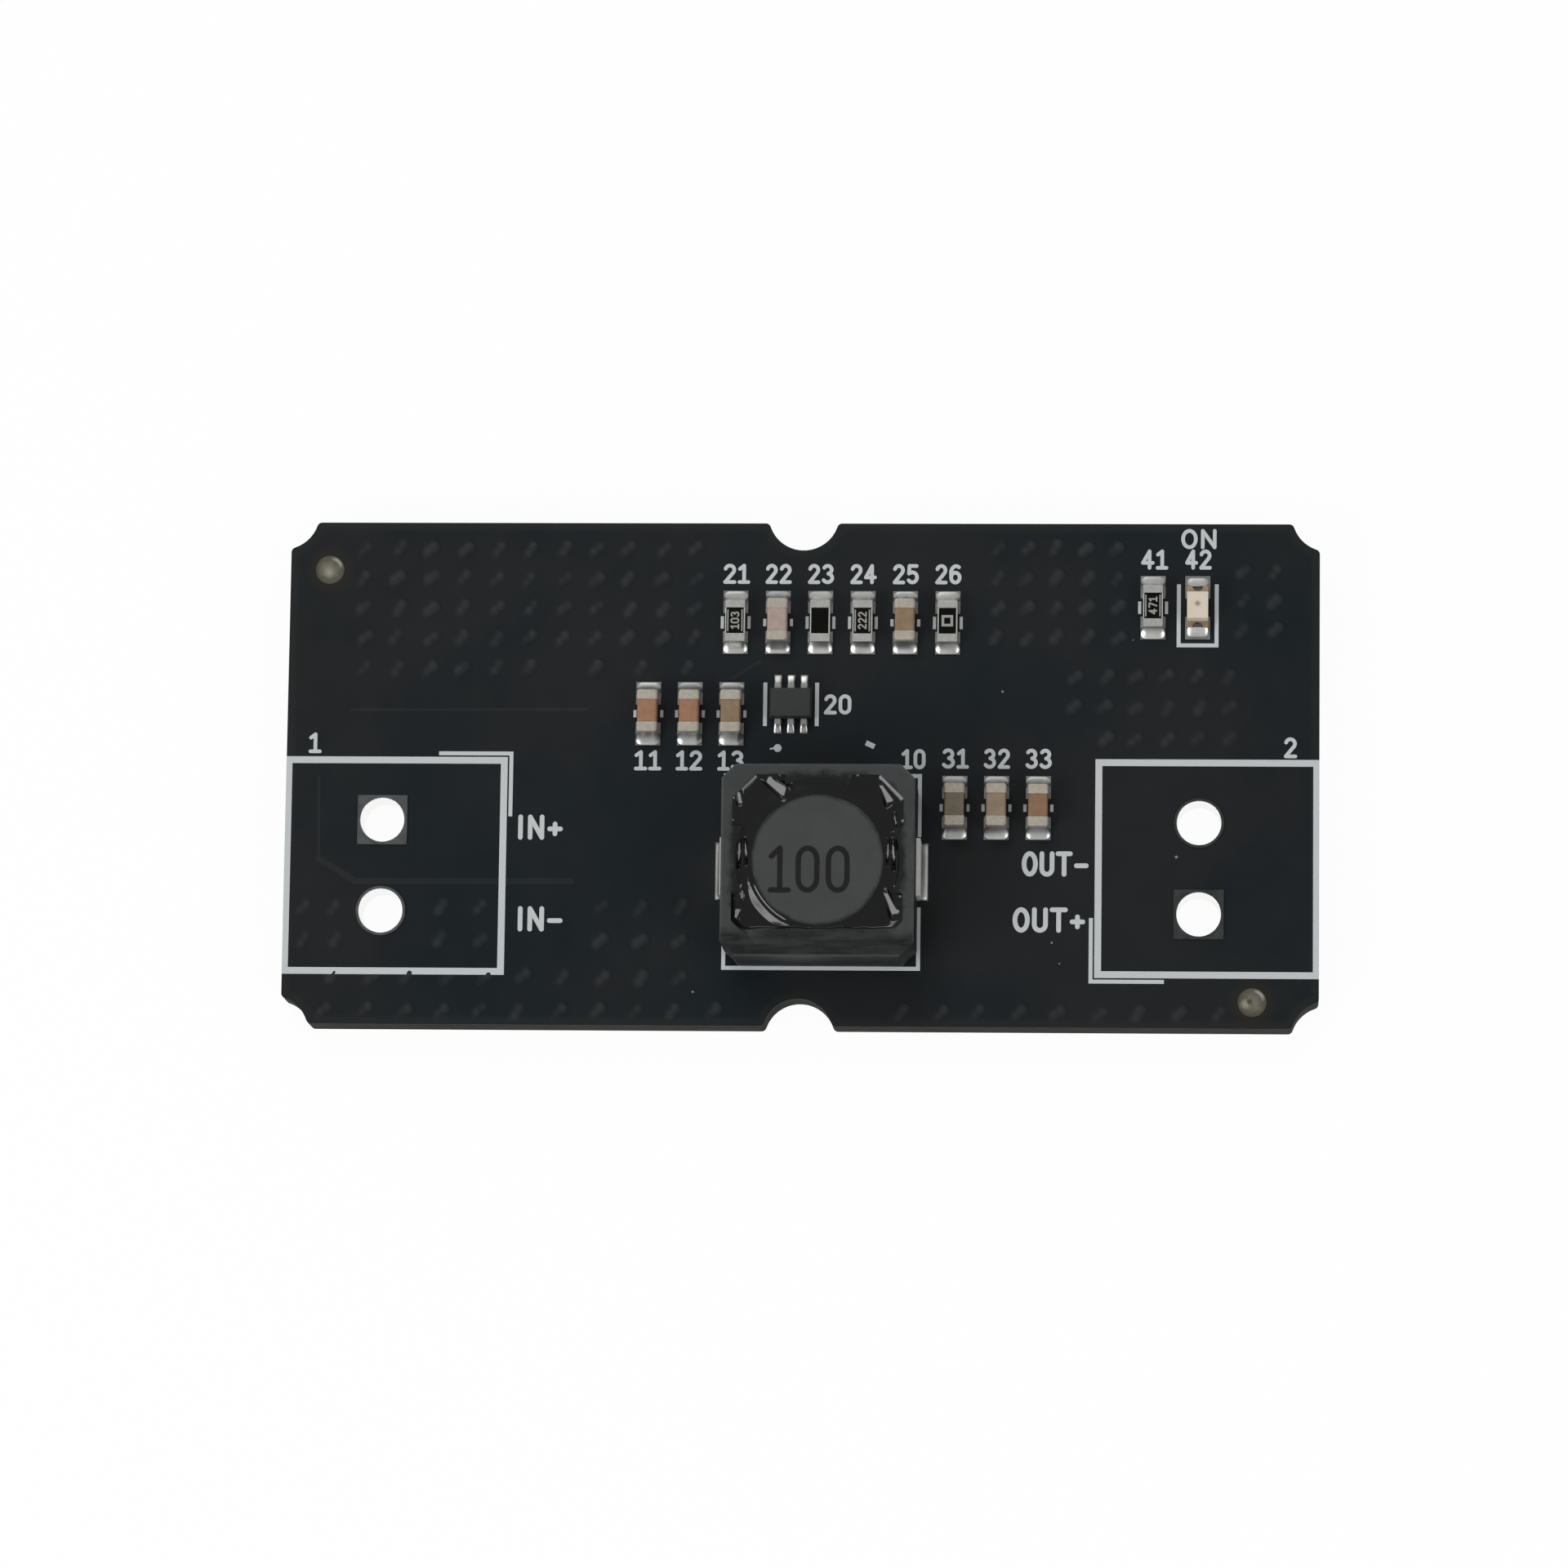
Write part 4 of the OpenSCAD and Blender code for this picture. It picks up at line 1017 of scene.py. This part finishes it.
# Leaning facets, from the inductor's middle: X, Y, direction in degrees, half length, half width,
# how much wider the far end is, and the lean
FACETS = [
    (-1.6, 2.82, -35, 0.5, 0.19, 0.3, "left"),
    (-2.97, 2.34, 100, 0.24, 0.11, 0.0, "left"),
    (2.55, 2.52, -62, 0.4, 0.13, 0.5, "left"),
    (2.92, 1.5, 95, 0.26, 0.035, 0.0, "left"),
    (2.86, 0.22, 92, 0.5, 0.05, 0.0, "left"),
    (2.65, 0.3, 88, 0.42, 0.04, 0.0, "right"),
    (2.77, -1.66, -68, 0.5, 0.13, 0.4, "left"),
    (-2.95, 0.25, 88, 0.5, 0.05, 0.0, "right"),
    (-2.7, 0.3, 93, 0.42, 0.04, 0.0, "left"),
    (-2.83, -1.32, 95, 0.17, 0.06, 0.0, "right"),
    (-3.02, -2.03, 75, 0.24, 0.085, 0.0, "right"),
]
# Farther away than this, a facet has no share
FACET_REACH = 1.5

# The glue's face ends this far under the shield's top
BRIM = SHIELD_TOP - 0.003
# Slope of the two steps at the front left, where they begin outside the drum's flat, and their widths
STEP_SLOPE = 0.56
THIN_START, THIN_W = 0.05, 0.06
WIDE_START, WIDE_W = 0.21, 0.26
# How far in front of the middle the glue is flush with the shield, and the width of the rise to there
FLUSH_Y, FLUSH_W = 2.55, 0.09


def clamp(value, low, high):
    return min(high, max(low, value))


def smooth_step(value, low, high):
    t = clamp((value - low) / (high - low), 0.0, 1.0)
    return t * t * (3 - 2 * t)


def fold(angle):
    """The angle from the nearest side's middle, because all four sides and corners are alike."""
    return abs((angle + math.pi / 4) % (math.pi / 2) - math.pi / 4)


def pocket_reach(angle):
    """Distance from the inductor's middle to the shield's inner wall in this direction."""
    a = fold(angle)
    c, s = math.cos(a), math.sin(a)
    if POCKET_HALF * s / c < POCKET_START:
        return BORE_R
    return min(POCKET_HALF / c, (2 * POCKET_HALF - POCKET_CORNER) / (c + s))


def glue_base(x, y, inner):
    """Height of the glue's face without its facets; it begins at the radius inner."""
    r, a = math.hypot(x, y), math.atan2(y, x)
    turn = math.degrees(a) % 360
    reach = pocket_reach(a)
    out = r - inner
    # it laps over the drum's rim, then sags unevenly
    z = DRUM_TOP + 0.006 - 0.007 * smooth_step(out, 0.0, 0.1)
    z -= 0.035 * smooth_step(out, 0.05, 0.6)
    z += noise.noise(Vector((x * 0.9, y * 0.9, 3.7))) * 0.03 * smooth_step(out, 0.1, 0.5)
    # at the front left it runs down from the rim in two steps
    thin = smooth_step(turn, 198, 206) * (1 - smooth_step(turn, 240, 248))
    wide = smooth_step(turn, 190, 216) * (1 - smooth_step(turn, 232, 251))
    z -= STEP_SLOPE * clamp(out - THIN_START, 0.0, THIN_W) * thin
    z -= STEP_SLOPE * clamp(out - WIDE_START, 0.0, WIDE_W * wide)
    # in front it is flush with the shield
    front = smooth_step(-math.sin(a), 0.5, 0.86)
    wave = 0.05 * noise.noise(Vector((x * 1.6, 8.1, 2.2)))
    z += (BRIM - z) * front * clamp((-y + wave - FLUSH_Y) / FLUSH_W, 0.0, 1.0)
    # it clings to the wall, higher up in a pocket and less where a pocket begins
    in_pocket = smooth_step(reach, BORE_R + 0.05, BORE_R + 0.5)
    begin = math.atan(POCKET_START / POCKET_HALF)
    calm = 1 - 0.85 * (1 - smooth_step(abs(fold(a) - begin), 0.01, 0.09))
    climb = max(0.0, 1 - (reach - r) / (0.2 + 0.16 * in_pocket)) ** 2
    return z + max(0.0, BRIM - 0.02 - z) * climb * calm


def facet_share(x, y, facet):
    """How far a place lies inside a facet, from 0 to 1."""
    cx, cy, turn, length, width, flare, _ = facet
    if abs(x - cx) + abs(y - cy) > FACET_REACH:
        return 0.0
    a = math.radians(turn)
    u = ((x - cx) * math.cos(a) + (y - cy) * math.sin(a)) / length
    v = ((y - cy) * math.cos(a) - (x - cx) * math.sin(a)) / (width * (1 + flare * clamp(u, -1.0, 1.0)))
    return (1 - smooth_step(abs(u), 0.7, 1.35)) * (1 - smooth_step(abs(v), 0.65, 1.6))


def glue_skin():
    """Black glue around the drum: it laps over the drum's bevel, sags a little and clings to the walls."""
    flat_r = DRUM_R - DRUM_BEVEL
    around, across, skin = 720, 64, 0.003
    levels = [glue_base(f[0], f[1], flat_r) for f in FACETS]
    rows = [[] for _ in range(across + 3)]
    for k in range(around):
        a = 2 * math.pi * k / around
        c, s = math.cos(a), math.sin(a)
        inner = flat_r - 0.02 - 0.03 * noise.noise(Vector((c * 1.6, s * 1.6, 5.0)))
        run = pocket_reach(a) - inner
        # a row close to each end keeps the shading of the open face flat up to its outline
        spans = [0.0, skin] + [run * (j / across) ** 1.1 for j in range(1, across)] + [run - skin, run]
        for j, out in enumerate(spans):
            x, y = (inner + out) * c, (inner + out) * s
            z = glue_base(x, y, inner)
            for facet, level in zip(FACETS, levels):
                share = facet_share(x, y, facet) * smooth_step(out, 0.02, 0.1)
                lean_x, lean_y = LEANS[facet[-1]]
                z += (level + lean_x * (x - facet[0]) + lean_y * (y - facet[1]) - z) * share
            if j == 0:
                z = DRUM_TOP - 2 * SUNK
            rows[j].append((INDUCTOR_X + x, INDUCTOR_Y + y, min(z, BRIM)))
    # below its face the skin follows the wall down and comes up again just outside the drum's flange
    floor, under_rim, flange = SHIELD_TOP - 0.86, DRUM_TOP - 0.2, 1.09
    rows.append([(x, y, floor) for x, y, _ in rows[-1]])
    wall = [(INDUCTOR_X + (x - INDUCTOR_X) * flange, INDUCTOR_Y + (y - INDUCTOR_Y) * flange)
            for x, y, _ in rows[0]]
    rows += [[(x, y, z) for x, y in wall] for z in (floor, under_rim)]
    rows.append(rows[0])
    shape = Shape()
    shape.grid(rows, closed=True)
    piece("inductor_glue_skin", shape, "black_glue", replaces=["inductor_glue"])


# ---------- stage, in metres ----------

# Tone of the floor's shaded share, and the share that is white to the camera and to mirrors
FLOOR_TONE, WHITE_SHARE = 0.86, 0.955
FLOOR_HALF, FLOOR_DROP = 1.5, 0.00005
# Strength of the world's light on the object; to the camera it is plain white
SKY_LEVEL = 0.37
# Soft boxes, which aim at the origin: place, size and power in watts
SOFT_BOXES = {
    "soft_box_left": ((-0.31, -0.2, 0.25), (0.3, 0.18), 1.16),
    "soft_box_rear": ((-0.1, 0.3, 0.38), (0.24, 0.14), 0.56),
    "soft_box_right": ((0.29, -0.17, 0.26), (0.16, 0.18), 0.48),
}
# The camera's focal length, place in millimetres over the board's top face and turn in degrees
CAMERA_LENS, CAMERA_PLACE, CAMERA_TURN = 180, (16.9, -47.8, 294.2), (9.18, 3.29, 0.756)


def white_floor():
    """White to the camera and to what mirrors it, with a share left that takes shadow."""
    material = bpy.data.materials.new("white floor")
    material.use_nodes = True
    f = Nodes(material.node_tree)
    f.tree.nodes.clear()
    rays = f.node("ShaderNodeLightPath", {}).outputs
    mirrored = f.math("MAXIMUM", rays["Is Glossy Ray"], rays["Is Transmission Ray"])
    seen = f.math("MAXIMUM", rays["Is Camera Ray"], mirrored)
    shaded_part = f.node("ShaderNodeBsdfDiffuse", {"Color": (FLOOR_TONE, FLOOR_TONE, FLOOR_TONE, 1)})
    white_part = f.node("ShaderNodeEmission", {})
    mix = f.node("ShaderNodeMixShader", {0: f.times(seen, WHITE_SHARE), 1: shaded_part.outputs[0],
                                         2: white_part.outputs[0]})
    f.node("ShaderNodeOutputMaterial", {"Surface": mix.outputs[0]})
    return material


def stage():
    """A plain floor just under the part, and a white world."""
    mesh = bpy.data.meshes.new("floor")
    corners = [(-1, -1), (1, -1), (1, 1), (-1, 1)]
    mesh.from_pydata([(FLOOR_HALF * x, FLOOR_HALF * y, 0) for x, y in corners], [], [(0, 1, 2, 3)])
    mesh.materials.append(white_floor())
    floor = new_object("floor", mesh)
    floor.location.z = -FLOOR_DROP

    world = bpy.data.worlds.new("studio")
    bpy.context.scene.world = world
    world.use_nodes = True
    f = Nodes(world.node_tree)
    seen = f.node("ShaderNodeLightPath", {}).outputs["Is Camera Ray"]
    level = f.node("ShaderNodeMapRange", {"Value": seen, "To Min": SKY_LEVEL})
    background = f.tree.nodes["Background"].inputs
    background["Color"].default_value = (1, 1, 1, 1)
    f.link(level.outputs["Result"], background["Strength"])


def lights():
    for name, (place, (width, height), power) in SOFT_BOXES.items():
        light = bpy.data.lights.new(name, "AREA")
        light.shape = "RECTANGLE"
        light.size, light.size_y = width, height
        light.energy = power
        obj = new_object(name, light)
        obj.location = place
        obj.rotation_euler = (-Vector(place)).to_track_quat("-Z", "Y").to_euler()


def camera():
    data = bpy.data.cameras.new("camera")
    data.lens = CAMERA_LENS
    data.sensor_width = 36
    obj = new_object("camera", data)
    obj.location = (Vector(CAMERA_PLACE) + Vector((0, 0, BOARD_TOP))) * MM
    obj.rotation_euler = [math.radians(a) for a in CAMERA_TURN]
    bpy.context.scene.camera = obj


bpy.context.scene.view_settings.view_transform = "Standard"
camera()
stage()
lights()
finish_nodes()
tented_vias()
copper_relief()
dust()
hole_linings()
board_lettering()
resistor_numbers()
inductor_number()
solder_joints()
glue_skin()
